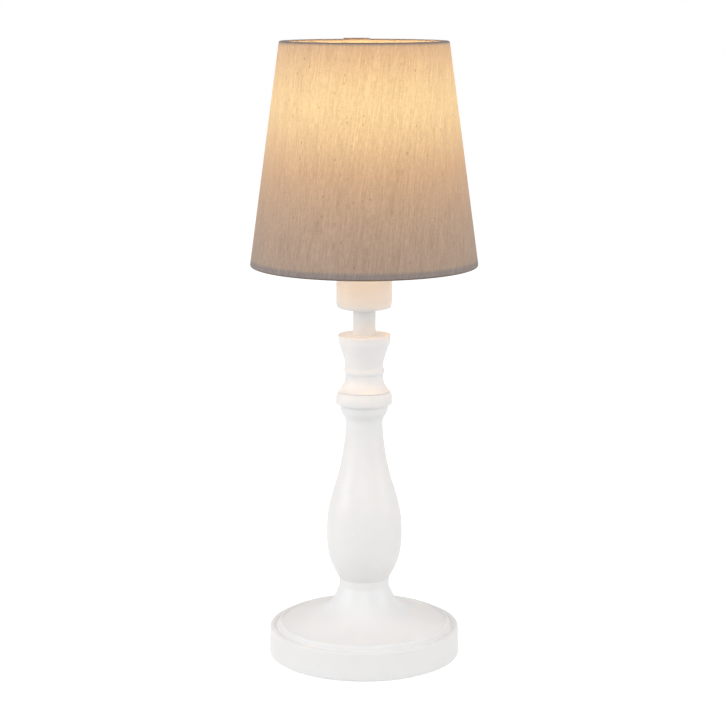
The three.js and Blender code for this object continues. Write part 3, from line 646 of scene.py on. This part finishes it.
def foot_outline():
    ledge_top = FOOT_LOW + FOOT_WALL
    wall_top = FOOT_RADIUS - FOOT_DRAFT
    cove = wall_top - LEDGE
    bead = cove - COVE
    dish = bead - BEAD
    bead_top = ledge_top + BEAD_RISE
    dish_top = bead_top - DISH_DROP
    neck_base = FOOT_TOP - NECK_HEIGHT
    outline = Outline(POCKET_RADIUS, FOOT_LOW).line(FOOT_RADIUS - FOOT_EDGE, FOOT_LOW)
    outline.bend(FOOT_RADIUS, FOOT_LOW, FOOT_RADIUS, FOOT_LOW + FOOT_EDGE)
    outline.line(wall_top, ledge_top - SHOULDER, 6)
    outline.bend(wall_top - 0.03, ledge_top, wall_top - SHOULDER, ledge_top, 10)
    outline.line(cove + 0.4, ledge_top)
    outline.bend(cove, ledge_top, cove - EDGE, ledge_top - EDGE, 4)
    outline.bend((cove + bead) / 2, ledge_top - 2 * COVE_DEPTH + EDGE, bead + EDGE / 2, ledge_top - 0.05, 8)
    outline.curve(bead - 0.1, ledge_top + 1.4, bead - 0.45, bead_top, (bead + dish) / 2, bead_top, 10)
    outline.curve(dish + 0.45, bead_top, dish + 0.2, dish_top, dish - 0.6, dish_top, 8)
    ease, drop = NECK_RADIUS + FLARE_EASE, neck_base - FLARE_DROP
    outline.curve(dish - FLARE_RUN, dish_top + FLARE_RISE, ease, drop, NECK_RADIUS, neck_base, 64)
    outline.line(FOOT_JOINT, FOOT_TOP - FINE_EDGE, 4)
    outline.bend(FOOT_JOINT, FOOT_TOP, FOOT_JOINT - FINE_EDGE, FOOT_TOP, 3)
    outline.line(TENON_RADIUS, FOOT_TOP).line(TENON_RADIUS, FOOT_TENON_TOP - EDGE)
    outline.line(TENON_RADIUS - EDGE, FOOT_TENON_TOP).line(ROD_HOLE, FOOT_TENON_TOP)
    outline.line(ROD_HOLE, WELL_TOP).line(WELL_RADIUS, WELL_TOP)
    outline.line(WELL_RADIUS, POCKET_TOP).line(POCKET_RADIUS, POCKET_TOP)
    return outline


def rod_along(name, radius, start, end, steps=48):
    """A plain round cutter between two points."""
    bm = bmesh.new()
    tube(bm, [start, (start + end) / 2, end], radius, steps)
    return new_object(name, bm)


def build_foot():
    foot = turned("turned_foot", foot_outline(), FOOT_STEPS)
    low, high = (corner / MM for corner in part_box("cable_grommet"))
    height = (low.z + high.z) / 2
    past = 5
    start, end = (Vector((0, y, height)) for y in (POCKET_RADIUS - past, FOOT_RADIUS + past))
    cutters = [rod_along("outlet", GROMMET_SLEEVE + GAP, start, end)]
    for i in range(3):
        low, high = (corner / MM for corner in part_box(f"weight_screw_{i + 1}"))
        middle = (low + high) / 2
        start = Vector((middle.x, middle.y, POCKET_TOP - 1))
        end = start + Vector((0, 0, high.z + LOOSE - start.z))
        cutters.append(rod_along("screw_hole", SCREW_HOLE, start, end, 24))
    combine(foot, cutters, "DIFFERENCE")
    finish_piece(foot, "lacquer", "lamp", "foot")


def build_base_pad():
    low, high, radius = span("base_pad")
    outline = Outline(0, low).line(radius - EDGE, low).bend(radius, low, radius, low + EDGE)
    outline.line(radius, high).line(0, high)
    finish_piece(turned("rubber_pad", outline, FOOT_STEPS), "pad", "lamp", "base_pad")


def build_grommet():
    low, high = (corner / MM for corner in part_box("cable_grommet"))
    flange, sleeve, bore, plate, soft = high.x, GROMMET_SLEEVE, 3.25, 1.4, 0.8
    inner, outer = low.y, high.y
    outline = Outline(bore + EDGE, inner).line(flange - EDGE, inner).bend(flange, inner, flange, inner + EDGE)
    outline.line(flange, inner + plate).line(sleeve, inner + plate).line(sleeve, outer - plate)
    outline.line(flange, outer - plate).line(flange, outer - soft)
    outline.bend(flange, outer, flange - soft, outer).line(bore + soft, outer).bend(bore, outer, bore, outer - soft)
    outline.line(bore, inner + EDGE)
    grommet = turned("cord_grommet", outline, 64)
    height = (low.z + high.z) / 2 * MM
    grommet.data.transform(Matrix.Translation((0, 0, height)) @ Matrix.Rotation(-math.pi / 2, 4, "X"))
    finish_piece(grommet, "grommet", "lamp", "cable_grommet")


# Rod, nut, washers, weight and screws


def build_rod():
    low, high, radius = span("threaded_rod")
    bore, run = 4, 16
    rows = int(run / M10_PITCH * THREAD_ROWS)
    outline = Outline(bore, low).line(radius - EDGE, low).line(radius, low + EDGE).line(radius, low + run, rows)
    outline.line(radius, high - run, 4).line(radius, high - EDGE, rows).line(radius - EDGE, high).line(bore, high)
    fade = 0.8
    lower = threaded(M10_PITCH, M10_DEPTH, low + 0.2, low + run - 0.5, fade)
    upper = threaded(M10_PITCH, M10_DEPTH, high - run + 0.5, high - 0.2, fade)

    def shape(angle, r, z):
        if r < radius - EDGE / 2:
            return r, z
        return lower(angle, *upper(angle, r, z))

    finish_piece(turned("threaded_tube", outline, 48, shape), "steel", "lamp", "threaded_rod")


def build_neck():
    low, high, radius = span("neck_tube")
    outline = Outline(ROD_HOLE, low).line(radius - FINE_EDGE, low).line(radius, low + FINE_EDGE)
    outline.line(radius, high - FINE_EDGE).line(radius - FINE_EDGE, high).line(ROD_HOLE, high)
    finish_piece(turned("neck_sleeve", outline, SMALL_STEPS), "white_steel", "lamp", "neck_tube")


# Stem


def bore_into(outline, low, high):
    """The inside of a stem piece: the rod's hole, and below it the recess for a tenon."""
    recess = TENON_RADIUS + GAP
    outline.line(ROD_HOLE, high).line(ROD_HOLE, low + TENON_HEIGHT + LOOSE)
    outline.line(recess, low + TENON_HEIGHT + LOOSE).line(recess, low)


def tenon_onto(outline, height):
    outline.line(TENON_RADIUS, height).line(TENON_RADIUS, height + TENON_HEIGHT - EDGE)
    outline.line(TENON_RADIUS - EDGE, height + TENON_HEIGHT)


BELLY_RADIUS = span("stem_body")[2]
BELLY_HEIGHT = 25
TURN_RADIUS = 14.2
TURN_HEIGHT = 56.5
TURN_LEAN = 0.29
WAIST_RADIUS = 9.8
WAIST_DROP = 10.2
BODY_TOP_RADIUS = 13
BODY_TOP = span("stem_body")[1] - TENON_HEIGHT
COLLAR_TOP = span("stem_collar")[1] - TENON_HEIGHT
CUP_TOP = span("stem_cup")[1]
STEM_TOP_RADIUS = 10.05
TORUS_HEIGHT = 7.7
COVE_FOOT = 13.75
CUP_BEAD_HEIGHT = 4.1
CUP_BEAD_RADIUS = 10.8
CUP_RIM = 4.4
CUP_RIM_LEAN = 0.35
CUP_EDGE = 0.4
LIP = 0.45
LIP_GROOVE = 0.5

# How far the handles of the stem's curves lie from the points that they belong to, from below to above
JOINT_HOLD = (4, 6.7)
BELLY_HOLD = (12.2, 12.8)
TURN_HOLD = (13.3, 11.7)
WAIST_HOLD = (1.5, 5)
BODY_TOP_HOLD = (2.5, 6.6)
TORUS_HOLD = (0.3, 2.9)
TORUS_MIDDLE = 2.3
COLLAR_HOLD = (1.75, 1.6, 4.6)
CUP_HOLD = (3.5, 1.6, 4)


def build_stem_body():
    belly_at, turn_at, waist_at = FOOT_TOP + BELLY_HEIGHT, FOOT_TOP + TURN_HEIGHT, BODY_TOP - WAIST_DROP
    outline = Outline(FOOT_JOINT - FINE_EDGE, FOOT_TOP)
    outline.bend(FOOT_JOINT, FOOT_TOP, FOOT_JOINT + FINE_EDGE / 2, FOOT_TOP + FINE_EDGE, 3)
    out, up = FOOT_JOINT + JOINT_HOLD[0], FOOT_TOP + JOINT_HOLD[1]
    outline.curve(out, up, BELLY_RADIUS, belly_at - BELLY_HOLD[0], BELLY_RADIUS, belly_at, 32)
    below, above = TURN_HOLD
    lean = TURN_RADIUS + TURN_LEAN * below
    outline.curve(BELLY_RADIUS, belly_at + BELLY_HOLD[1], lean, turn_at - below, TURN_RADIUS, turn_at, 32)
    lean = TURN_RADIUS - TURN_LEAN * above
    outline.curve(lean, turn_at + above, WAIST_RADIUS, waist_at - WAIST_HOLD[0], WAIST_RADIUS, waist_at, 28)
    out, down = WAIST_RADIUS + BODY_TOP_HOLD[0], BODY_TOP - BODY_TOP_HOLD[1]
    end = BODY_TOP_RADIUS - 0.03, BODY_TOP - FINE_EDGE
    outline.curve(WAIST_RADIUS, waist_at + WAIST_HOLD[1], out, down, *end, 20)
    outline.line(BODY_TOP_RADIUS - FINE_EDGE, BODY_TOP)
    tenon_onto(outline, BODY_TOP)
    bore_into(outline, FOOT_TOP, BODY_TOP + TENON_HEIGHT)
    finish_piece(turned("vase_stem", outline, STEM_STEPS), "lacquer", "lamp", "stem_body")


def build_stem_collar():
    torus = span("stem_collar")[2]
    torus_top = BODY_TOP + TORUS_HEIGHT
    outline = Outline(BODY_TOP_RADIUS - FINE_EDGE, BODY_TOP)
    outline.line(BODY_TOP_RADIUS + FINE_EDGE, BODY_TOP + 0.05)
    outline.bend(torus, BODY_TOP + TORUS_HOLD[0], torus, BODY_TOP + TORUS_MIDDLE, 14)
    outline.bend(torus, torus_top - TORUS_HOLD[1], COVE_FOOT + 0.25, torus_top - LIP, 14)
    outline.line(COVE_FOOT - LIP_GROOVE, torus_top - LIP + 0.12)
    outline.bend(COVE_FOOT + 0.05, torus_top, COVE_FOOT - 0.35, torus_top + 0.25, 4)
    lean, up, hold = COLLAR_HOLD
    end = STEM_TOP_RADIUS, COLLAR_TOP - FINE_EDGE
    outline.curve(COVE_FOOT - lean, torus_top + up, STEM_TOP_RADIUS, COLLAR_TOP - hold, *end, 24)
    outline.line(STEM_TOP_RADIUS - FINE_EDGE, COLLAR_TOP)
    tenon_onto(outline, COLLAR_TOP)
    bore_into(outline, BODY_TOP, COLLAR_TOP + TENON_HEIGHT)
    finish_piece(turned("ring_collar", outline, STEM_STEPS), "lacquer", "lamp", "stem_collar")


def build_stem_cup():
    rim = span("stem_cup")[2]
    bead_top = COLLAR_TOP + CUP_BEAD_HEIGHT
    flare_top = CUP_TOP - CUP_RIM
    flare = rim - CUP_RIM_LEAN
    bulge = 2 * CUP_BEAD_RADIUS - STEM_TOP_RADIUS
    outline = Outline(STEM_TOP_RADIUS - FINE_EDGE, COLLAR_TOP).line(STEM_TOP_RADIUS, COLLAR_TOP + FINE_EDGE)
    outline.bend(bulge, COLLAR_TOP + CUP_BEAD_HEIGHT / 2, STEM_TOP_RADIUS, bead_top, 16)
    hold, lean, drop = CUP_HOLD
    outline.curve(STEM_TOP_RADIUS, bead_top + hold, flare - lean, flare_top - drop, flare, flare_top, 28)
    outline.line(rim, CUP_TOP - CUP_EDGE, 3).bend(rim, CUP_TOP, rim - CUP_EDGE, CUP_TOP, 5)
    bore_into(outline, COLLAR_TOP, CUP_TOP)
    finish_piece(turned("flared_cup", outline, STEM_STEPS), "lacquer", "lamp", "stem_cup")


# Lampholder

CAP_LOW, CAP_HIGH, CAP_RADIUS = span("holder_cap")
SKIRT_LOW, SKIRT_HIGH, FLANGE_RADIUS = span("holder_skirt")
FLANGE_TOP = span("shade_spider")[1] - 1.5
FLANGE_BASE = FLANGE_TOP - 2
CAP_WALL = 1.4
BARREL_RADIUS = 14


def build_holder_cap():
    hole = CAP_RADIUS - CAP_WALL
    floor = CAP_LOW + 3.5
    boss, boss_top = 8, floor + 9.5
    flat, corner, bowl, bowl_top = 12.3, 12.6, 12.9, CAP_LOW + 3.2
    outline = Outline(ROD_HOLE, CAP_LOW).line(flat, CAP_LOW).bend(corner, CAP_LOW, bowl, CAP_LOW + 0.1, 4)
    outline.curve(CAP_RADIUS - 0.6, CAP_LOW + 0.35, CAP_RADIUS, CAP_LOW + 1.0, CAP_RADIUS, bowl_top, 20)
    outline.line(CAP_RADIUS, CAP_HIGH - EDGE, 4).bend(CAP_RADIUS, CAP_HIGH, CAP_RADIUS - EDGE, CAP_HIGH, 4)
    outline.line(hole, CAP_HIGH).line(hole, floor + CAP_WALL).line(hole - CAP_WALL, floor)
    outline.line(boss, floor).line(boss, boss_top).line(ROD_HOLE, boss_top)
    finish_piece(turned("holder_shell", outline, STEM_STEPS), "holder", "lamp", "holder_cap")


def build_holder_skirt():
    radius, hole, mouth, nose, lip = BARREL_RADIUS, 12.2, 8.4, 1.0, 1.7
    spigot = CAP_RADIUS - CAP_WALL - GAP
    thread_low, thread_high = FLANGE_TOP + 0.8, SKIRT_HIGH - 2.2
    rows = int((thread_high - thread_low) / RING_PITCH * THREAD_ROWS)
    outline = Outline(hole, SKIRT_LOW).line(spigot, SKIRT_LOW).line(spigot, CAP_HIGH).line(radius - EDGE, CAP_HIGH)
    outline.line(radius, CAP_HIGH + EDGE).line(radius, FLANGE_BASE)
    outline.line(FLANGE_RADIUS - EDGE, FLANGE_BASE).bend(FLANGE_RADIUS, FLANGE_BASE, FLANGE_RADIUS, FLANGE_BASE + EDGE)
    outline.line(FLANGE_RADIUS, FLANGE_TOP - EDGE).bend(FLANGE_RADIUS, FLANGE_TOP, FLANGE_RADIUS - EDGE, FLANGE_TOP)
    outline.line(radius, FLANGE_TOP).line(radius, thread_low).line(radius, thread_high, rows)
    outline.line(radius, SKIRT_HIGH - nose).bend(radius, SKIRT_HIGH, radius - nose, SKIRT_HIGH)
    outline.line(mouth + EDGE, SKIRT_HIGH).bend(mouth, SKIRT_HIGH, mouth, SKIRT_HIGH - EDGE)
    outline.line(mouth, SKIRT_HIGH - lip).line(hole, SKIRT_HIGH - lip)
    cut = threaded(RING_PITCH, RING_DEPTH, thread_low, thread_high, 1.2)

    def shape(angle, r, z):
        return cut(angle, r, z) if r > radius - EDGE / 2 else (r, z)

    finish_piece(turned("threaded_skirt", outline, SMALL_STEPS, shape), "holder", "lamp", "holder_skirt")


def build_shade_ring():
    low, high, flange = span("shade_ring")
    crest, rib_depth, ribs, plate, soft = 18, 0.8, 20, 1.6, 0.9
    bore = BARREL_RADIUS + GAP
    outline = Outline(bore, low).line(flange - EDGE, low).bend(flange, low, flange, low + EDGE)
    outline.line(flange, low + plate - EDGE).bend(flange, low + plate, flange - EDGE, low + plate)
    outline.line(crest, low + plate).line(crest, high - soft, 6).bend(crest, high, crest - soft, high)
    outline.line(bore + 0.4, high).line(bore, high - 0.4)

    def shape(angle, r, z):
        if z < low + plate - 0.01 or r < crest - 1.0:
            return r, z
        wave = 0.5 + 0.5 * math.cos(ribs * angle)
        return r - rib_depth * (1 - wave**0.6), z

    finish_piece(turned("ribbed_ring", outline, 10 * ribs, shape), "holder", "ring", "shade_ring")


def build_screw_shell():
    low, high, radius = span("screw_shell")
    wall = 0.4
    rows = int((high - low) / E14_PITCH * THREAD_ROWS)
    outline = Outline(radius, low).line(radius, high, rows).line(radius - wall, high).line(radius - wall, low, rows)
    cut = threaded(E14_PITCH, SHELL_DEPTH, low - 2, high + 2)
    finish_piece(turned("threaded_shell", outline, 64, cut), "brass", "lamp", "screw_shell")


# Shade

TOP_RADIUS = 44
FABRIC_THICKNESS = 0.5
LINER_DEPTH = 0.8
LINER_THICKNESS = 0.6
LINER_INSET = 0.8
WIRE = 1.25
WIRE_INSET = 0.8
WIRE_SIDES = 16
WIRE_STEPS = 192
LOW_WIRE = SHADE_LOW + WIRE_INSET + WIRE
HIGH_WIRE = SHADE_HIGH - WIRE_INSET - WIRE
WELD_ANGLE = 2.4
WELD_BULGE = 0.12
WELD_WIDTH = 1.2
FITTER_RADIUS = 19.5
FITTER_BORE = 14.5
FOLD_ROUND = 0.7
SEAM_START = math.radians(104.5)
SEAM_WIDTH = 13
SEAM_FADE = 2
SEAM_RISE = 0.5
SLOPE = (TOP_RADIUS - SHADE_RADIUS) / (SHADE_HIGH - SHADE_LOW)
CONE = math.atan(-SLOPE)
APEX = SHADE_RADIUS / math.sin(CONE)


def shade_radius(height):
    return SHADE_RADIUS + SLOPE * (height - SHADE_LOW)


def wire_radius(height):
    return shade_radius(height) - LINER_DEPTH - LINER_THICKNESS - GAP - WIRE


def fabric_path():
    """The middle of the fabric, from the lower hem's end round both wire rings to the upper hem's end."""
    half = FABRIC_THICKNESS / 2
    low_back = wire_radius(LOW_WIRE) - WIRE - GAP - half
    high_back = wire_radius(HIGH_WIRE) - WIRE - GAP - half
    hem_low, hem_high = span("hem_bottom")[1], span("hem_top")[0]
    against = shade_radius(hem_low) - LINER_DEPTH - LINER_THICKNESS - GAP - half
    corners = [
        (against, hem_low),
        (low_back, LOW_WIRE + 1),
        (low_back, SHADE_LOW + half),
        (shade_radius(SHADE_LOW) - half, SHADE_LOW + half),
        (shade_radius(SHADE_HIGH) - half, SHADE_HIGH - half),
        (high_back, SHADE_HIGH - half),
        (high_back, hem_high),
    ]
    return rounded(corners, FOLD_ROUND)


def refined(points, longest):
    """Points with long stretches cut into even steps."""
    done = [points[0]]
    for before, after in zip(points, points[1:]):
        count = max(1, math.ceil((after - before).length / longest))
        done += [before.lerp(after, i / count) for i in range(1, count + 1)]
    return done


def shell_outline(path, thickness):
    """The closed outline of a wall along a path."""
    sides = ([], [])
    for i, point in enumerate(path):
        along = (path[min(i + 1, len(path) - 1)] - path[max(i - 1, 0)]).normalized()
        across = Vector((along.y, -along.x)) * thickness / 2
        sides[0].append(point + across)
        sides[1].append(point - across)
    return sides[0] + sides[1][::-1]


def in_seam(angle, height):
    """How far the cloth lies raised over the seam: 1 on the overlap, and 0 away from it."""
    back = (SEAM_START - angle) * shade_radius(height)
    if back < 0 or back > SEAM_WIDTH + SEAM_FADE:
        return 0.0
    return 1.0 if back < SEAM_WIDTH else (SEAM_WIDTH + SEAM_FADE - back) / SEAM_FADE


def shade_angles():
    """Even angles, with a closer pair where the folded edge of the seam steps down."""
    step = TURN / SHADE_STEPS
    even = [i * step for i in range(SHADE_STEPS)]
    even = [a for a in even if abs(a - SEAM_START) > step / 2]
    return sorted(even + [SEAM_START - 1e-5, SEAM_START + 0.0012])


def flat_pattern(mesh, path):
    """A UV map of the cloth as it was cut, in metres: a sector of a ring, its threads upright at the front."""
    flat = mesh.uv_layers.new(name="flat")
    lengths = [0.0]
    for before, after in zip(path, path[1:]):
        lengths.append(lengths[-1] + (after - before).length)
    start = min(range(len(path)), key=lambda i: abs(path[i].y - SHADE_LOW - 2) + abs(path[i].x - SHADE_RADIUS))
    rows = [APEX * MM - (length - lengths[start]) * MM for length in lengths]
    for loop in mesh.loops:
        at = mesh.vertices[loop.vertex_index].co
        ahead = math.atan2(at.x, -at.y)
        row = rows[nearest_row(path, math.hypot(at.x, at.y) / MM, at.z / MM)]
        flat.data[loop.index].uv = (row * math.sin(ahead * math.sin(CONE)), row * math.cos(ahead * math.sin(CONE)))


row_cache = {}


def nearest_row(path, radius, height):
    key = (round(radius, 2), round(height, 2))
    if key not in row_cache:
        at = Vector((radius, height))
        row_cache[key] = min(range(len(path)), key=lambda i: (path[i] - at).length_squared)
    return row_cache[key]


def arm_points():
    """One arm of the spider seen from the side: from the fitter's edge down to the lower wire ring."""
    start, end = FITTER_RADIUS - 1.3, wire_radius(LOW_WIRE) - WIRE * 0.4
    top = span("shade_spider")[1] - WIRE
    level = (end - FITTER_RADIUS) / 3
    outline = Outline(start, top)
    outline.curve(FITTER_RADIUS + level, top, end - level, LOW_WIRE, end, LOW_WIRE, 24)
    return outline.points


def build_fabric():
    path = refined(fabric_path(), 2.5)
    outline = [tuple(p) for p in shell_outline(path, FABRIC_THICKNESS)]

    def shape(angle, r, z):
        raised = in_seam(angle, min(max(z, SHADE_LOW), SHADE_HIGH))
        outside = r > shade_radius(z) - FOLD_ROUND
        top = z > SHADE_HIGH - 1.2
        return r + SEAM_RISE * raised * outside, z + SEAM_RISE * raised * top

    fabric = turned("woven_shade", outline, SHADE_STEPS, shape, shade_angles())
    flat_pattern(fabric.data, path)
    slits = []
    middle = wire_radius(LOW_WIRE) - WIRE - GAP - FABRIC_THICKNESS
    for angle in thirds():
        start, end = (around(middle + aside, angle, LOW_WIRE + 0.3) for aside in (-2, 1.6))
        slits.append(rod_along("slit", WIRE + LOOSE, start, end, 24))
    combine(fabric, slits, "DIFFERENCE")
    finish_piece(fabric, "fabric", "shade", "shade_fabric", "hem_bottom", "hem_top")


def build_liner():
    low, high = SHADE_LOW + LINER_INSET, SHADE_HIGH - LINER_INSET
    outer, inner = LINER_DEPTH, LINER_DEPTH + LINER_THICKNESS
    outline = Outline(shade_radius(low) - inner, low).line(shade_radius(low) - outer, low)
    outline.line(shade_radius(high) - outer, high, 40).line(shade_radius(high) - inner, high)
    outline.line(shade_radius(low) - inner, low, 40)
    outline.points.pop()
    finish_piece(turned("shade_film", outline, SHADE_STEPS), "liner", "shade", "shade_liner")


def build_wire_rings():
    """Steel wire rings, each with the small bulge of its butt weld."""
    for name, node, height in (("wire_low", "bottom_ring", LOW_WIRE), ("wire_high", "top_ring", HIGH_WIRE)):
        radius = wire_radius(height)
        sides = [TURN * k / WIRE_SIDES for k in range(WIRE_SIDES)]
        outline = [(radius + WIRE * math.cos(a), height + WIRE * math.sin(a)) for a in sides]

        def shape(angle, r, z, radius=radius, height=height):
            bulge = 1 + WELD_BULGE * math.exp(-(((angle - WELD_ANGLE) * radius / WELD_WIDTH) ** 2))
            return radius + (r - radius) * bulge, height + (z - height) * bulge

        finish_piece(turned(name, outline, WIRE_STEPS, shape), "white_steel", "shade", node)


def build_spider():
    edge, bore = FITTER_RADIUS, FITTER_BORE
    low, high = FLANGE_TOP, span("shade_spider")[1]
    outline = Outline(bore, low).line(edge - EDGE, low).bend(edge, low, edge, low + EDGE)
    outline.line(edge, high - EDGE).bend(edge, high, edge - EDGE, high)
    outline.line(bore + EDGE, high).bend(bore, high, bore, high - EDGE)
    spider = turned("spider_frame", outline, SMALL_STEPS)
    arms = []
    for angle in thirds():
        points = [around(r, angle, z) for r, z in arm_points()]
        bm = bmesh.new()
        tube(bm, points, WIRE, 20)
        arms.append(new_object("arm", bm))
    combine(spider, arms, "UNION")
    finish_piece(spider, "white_steel", "shade", "shade_spider")


# Bulb

BODY_RADIUS = 17.2
GLASS = 1.1
WIDE_HEIGHT = 11
DOME_BULGE = 3.3
DOME_HOLD = 19.3
TIP_WIDTH = 8.9


def build_bulb_end():
    low, high, radius = span("bulb_contact")
    outline = Outline(0, low).line(radius / 3, low).curve(radius * 0.8, low, radius, low + 0.4, radius, high, 10)
    outline.line(0, high)
    finish_piece(turned("solder_contact", outline, 48), "solder", "bulb_tip", "bulb_contact")
    low, high, radius = span("bulb_insulator")
    base = 3
    outline = Outline(0, low).line(base - EDGE, low).bend(base, low, base + 0.2, low + EDGE, 4)
    outline.line(radius, high).line(0, high)
    finish_piece(turned("glass_insulator", outline, 64), "black_glass", "bulb", "bulb_insulator")


def build_bulb_cap():
    low, high, radius = span("bulb_cap")
    shoulder, rim = 1.2, 2.4
    top = high - rim
    rows = int((top - low - shoulder) / E14_PITCH * THREAD_ROWS * 1.4)
    outline = Outline(0, low).line(radius - shoulder, low).bend(radius - 0.3, low + 0.1, radius, low + shoulder)
    outline.line(radius, top, rows).line(radius, high - EDGE, 6).line(radius - EDGE, high).line(0, high)
    cut = threaded(E14_PITCH, CAP_DEPTH, low + shoulder, top, 1.2)
    punches, depth, width = 8, 0.25, 0.45

    def shape(angle, r, z):
        if r < radius - 0.01:
            return r, z
        aside = math.sin(punches * angle / 2) * radius * 2 / punches
        dent = depth * math.exp(-((aside / width) ** 2) - (((z - high + rim / 2) / width) ** 2))
        r, z = cut(angle, r, z)
        return r - dent, z

    finish_piece(turned("edison_cap", outline, 160, shape), "bulb_cap", "bulb", "bulb_cap")


def build_bulb_body():
    low, high, _ = span("bulb_body")
    neck, rise, flare, hold = 8.3, 2.2, 2.7, 6.6
    outline = Outline(0, low).line(neck - EDGE, low).bend(neck, low, neck, low + EDGE).line(neck, low + rise, 2)
    outline.curve(neck + flare, low + rise + hold, BODY_RADIUS, high - hold, BODY_RADIUS, high - EDGE, 36)
    outline.bend(BODY_RADIUS, high, BODY_RADIUS - EDGE, high).line(0, high)
    finish_piece(turned("bulb_neck", outline, SMALL_STEPS), "bulb_body", "bulb", "bulb_body")


def dome_face(inset, steps):
    """One face of the dome, set in from the outer one, from the body up to the tip."""
    base, wide, top = BODY_RADIUS - inset, BULB_RADIUS - inset, BULB_HIGH - inset
    face = Outline(base, BULB_LOW)
    face.bend(wide, BULB_LOW + DOME_BULGE, wide, BULB_LOW + WIDE_HEIGHT, steps)
    face.curve(wide, BULB_LOW + WIDE_HEIGHT + DOME_HOLD, TIP_WIDTH - inset / 2, top, 0, top, 2 * steps)
    return face.points


def build_bulb_dome():
    outline = dome_face(0, 24) + dome_face(GLASS, 12)[::-1]
    finish_piece(turned("frosted_candle", outline, SMALL_STEPS), "frosted", "bulb", "bulb_dome")


def build_board():
    low, high, radius = span("led_board")
    edge = 0.2
    outline = Outline(0, low).line(radius - edge, low).line(radius, low + edge).line(radius, high - edge)
    outline.line(radius - edge, high).line(0, high)
    finish_piece(turned("light_board", outline, 64), "board", "bulb", "led_board")


# CAD nodes that stay as they are

KEPT = {
    "steel": (
        "weight_plate", "weight_screw_1", "weight_screw_2", "weight_screw_3",
        "lower_washer", "lock_washer", "lower_nut", "terminal_screw_1", "terminal_screw_2",
    ),
    "brass": ("centre_contact", "side_contact"),
    "core": ("holder_insert",),
}

# Floor, sky and lights: sizes and places in metres, power in watts. The floor's levels are what the camera sees
# where no shadow lies, what a shadow takes from, and the floor's own colour.

FLOOR_SIZE = 6.0
FLOOR_SEEN = 1.004
FLOOR_SHADE = 0.85
FLOOR_COLOUR = 0.88
LIT_LEVEL = 0.46
AIM = (0, 0, 0.17)
SOFT_LIGHTS = {
    "key": ((-1.59, -0.43, 0.77), 0.9, 9.4),
    "fill": ((1.59, -0.43, 0.77), 0.9, 6.9),
    "front": ((0, -1.64, 1.1), 0.9, 6.6),
    "top": ((0, -0.74, 1.76), 1.2, 4.2),
}


def white_if_seen(look):
    """1 for rays that show the background: from the camera, in a gloss or through something clear."""
    path = look.node("LightPath")
    seen = look.math("MAXIMUM", path.outputs["Is Camera Ray"], path.outputs["Is Glossy Ray"])
    return look.math("MAXIMUM", seen, path.outputs["Is Transmission Ray"])


def add_floor():
    bm = bmesh.new()
    bmesh.ops.create_grid(bm, x_segments=1, y_segments=1, size=FLOOR_SIZE / 2)
    floor = from_bmesh("floor", bm)
    look = Look("floor")
    shaded = look.node("BsdfDiffuse", color=(FLOOR_SHADE, FLOOR_SHADE, FLOOR_SHADE, 1))
    white = look.node("Emission", color=WHITE, strength=FLOOR_SEEN - FLOOR_SHADE * LIT_LEVEL)
    seen = look.node("AddShader")
    for part, socket in zip((shaded, white), seen.inputs):
        look.tree.links.new(part.outputs[0], socket)
    real = look.node("BsdfDiffuse", color=(FLOOR_COLOUR, FLOOR_COLOUR, FLOOR_COLOUR, 1))
    floor.data.materials.append(look.show(look.mix(white_if_seen(look), real, seen)))


def add_sky():
    look = Look("sky", world=True)
    lit, seen = (look.node("Background", color=WHITE, strength=strength) for strength in (LIT_LEVEL, 1.0))
    bpy.context.scene.world = look.show(look.mix(white_if_seen(look), lit, seen))


def add_light(name, kind, place, power):
    data = bpy.data.lights.new(name, kind)
    data.energy = power
    light = new_in_scene(name, data)
    light.location = place
    light.visible_camera = False
    return light


def add_soft_lights():
    for name, (place, size, power) in SOFT_LIGHTS.items():
        light = add_light(name, "AREA", place, power)
        light.data.shape = "SQUARE"
        light.data.size = size
        light.rotation_euler = (Vector(AIM) - Vector(place)).to_track_quat("-Z", "Y").to_euler()


def add_bulb_light():
    """The light source inside the dome, riding with the bulb."""
    light = add_light("bulb_light", "POINT", (0, 0, GLOW_HEIGHT * MM), LAMP_POWER)
    light.data.color = LAMP_COLOUR
    light.data.shadow_soft_size = LAMP_RADIUS * MM
    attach(light, "bulb")


add_camera()
add_floor()
add_sky()
add_soft_lights()
add_bulb_light()

build_base_pad()
build_foot()
build_grommet()
build_rod()
build_stem_body()
build_stem_collar()
build_stem_cup()
build_neck()
build_holder_cap()
build_holder_skirt()
build_shade_ring()
build_screw_shell()
build_wire_rings()
build_spider()
build_liner()
build_fabric()
build_bulb_end()
build_bulb_cap()
build_bulb_body()
build_bulb_dome()
build_board()
for slot, nodes in KEPT.items():
    for node in nodes:
        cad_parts[node].material_slots[0].material = looks[slot]

bpy.context.scene.view_settings.view_transform = "Standard"
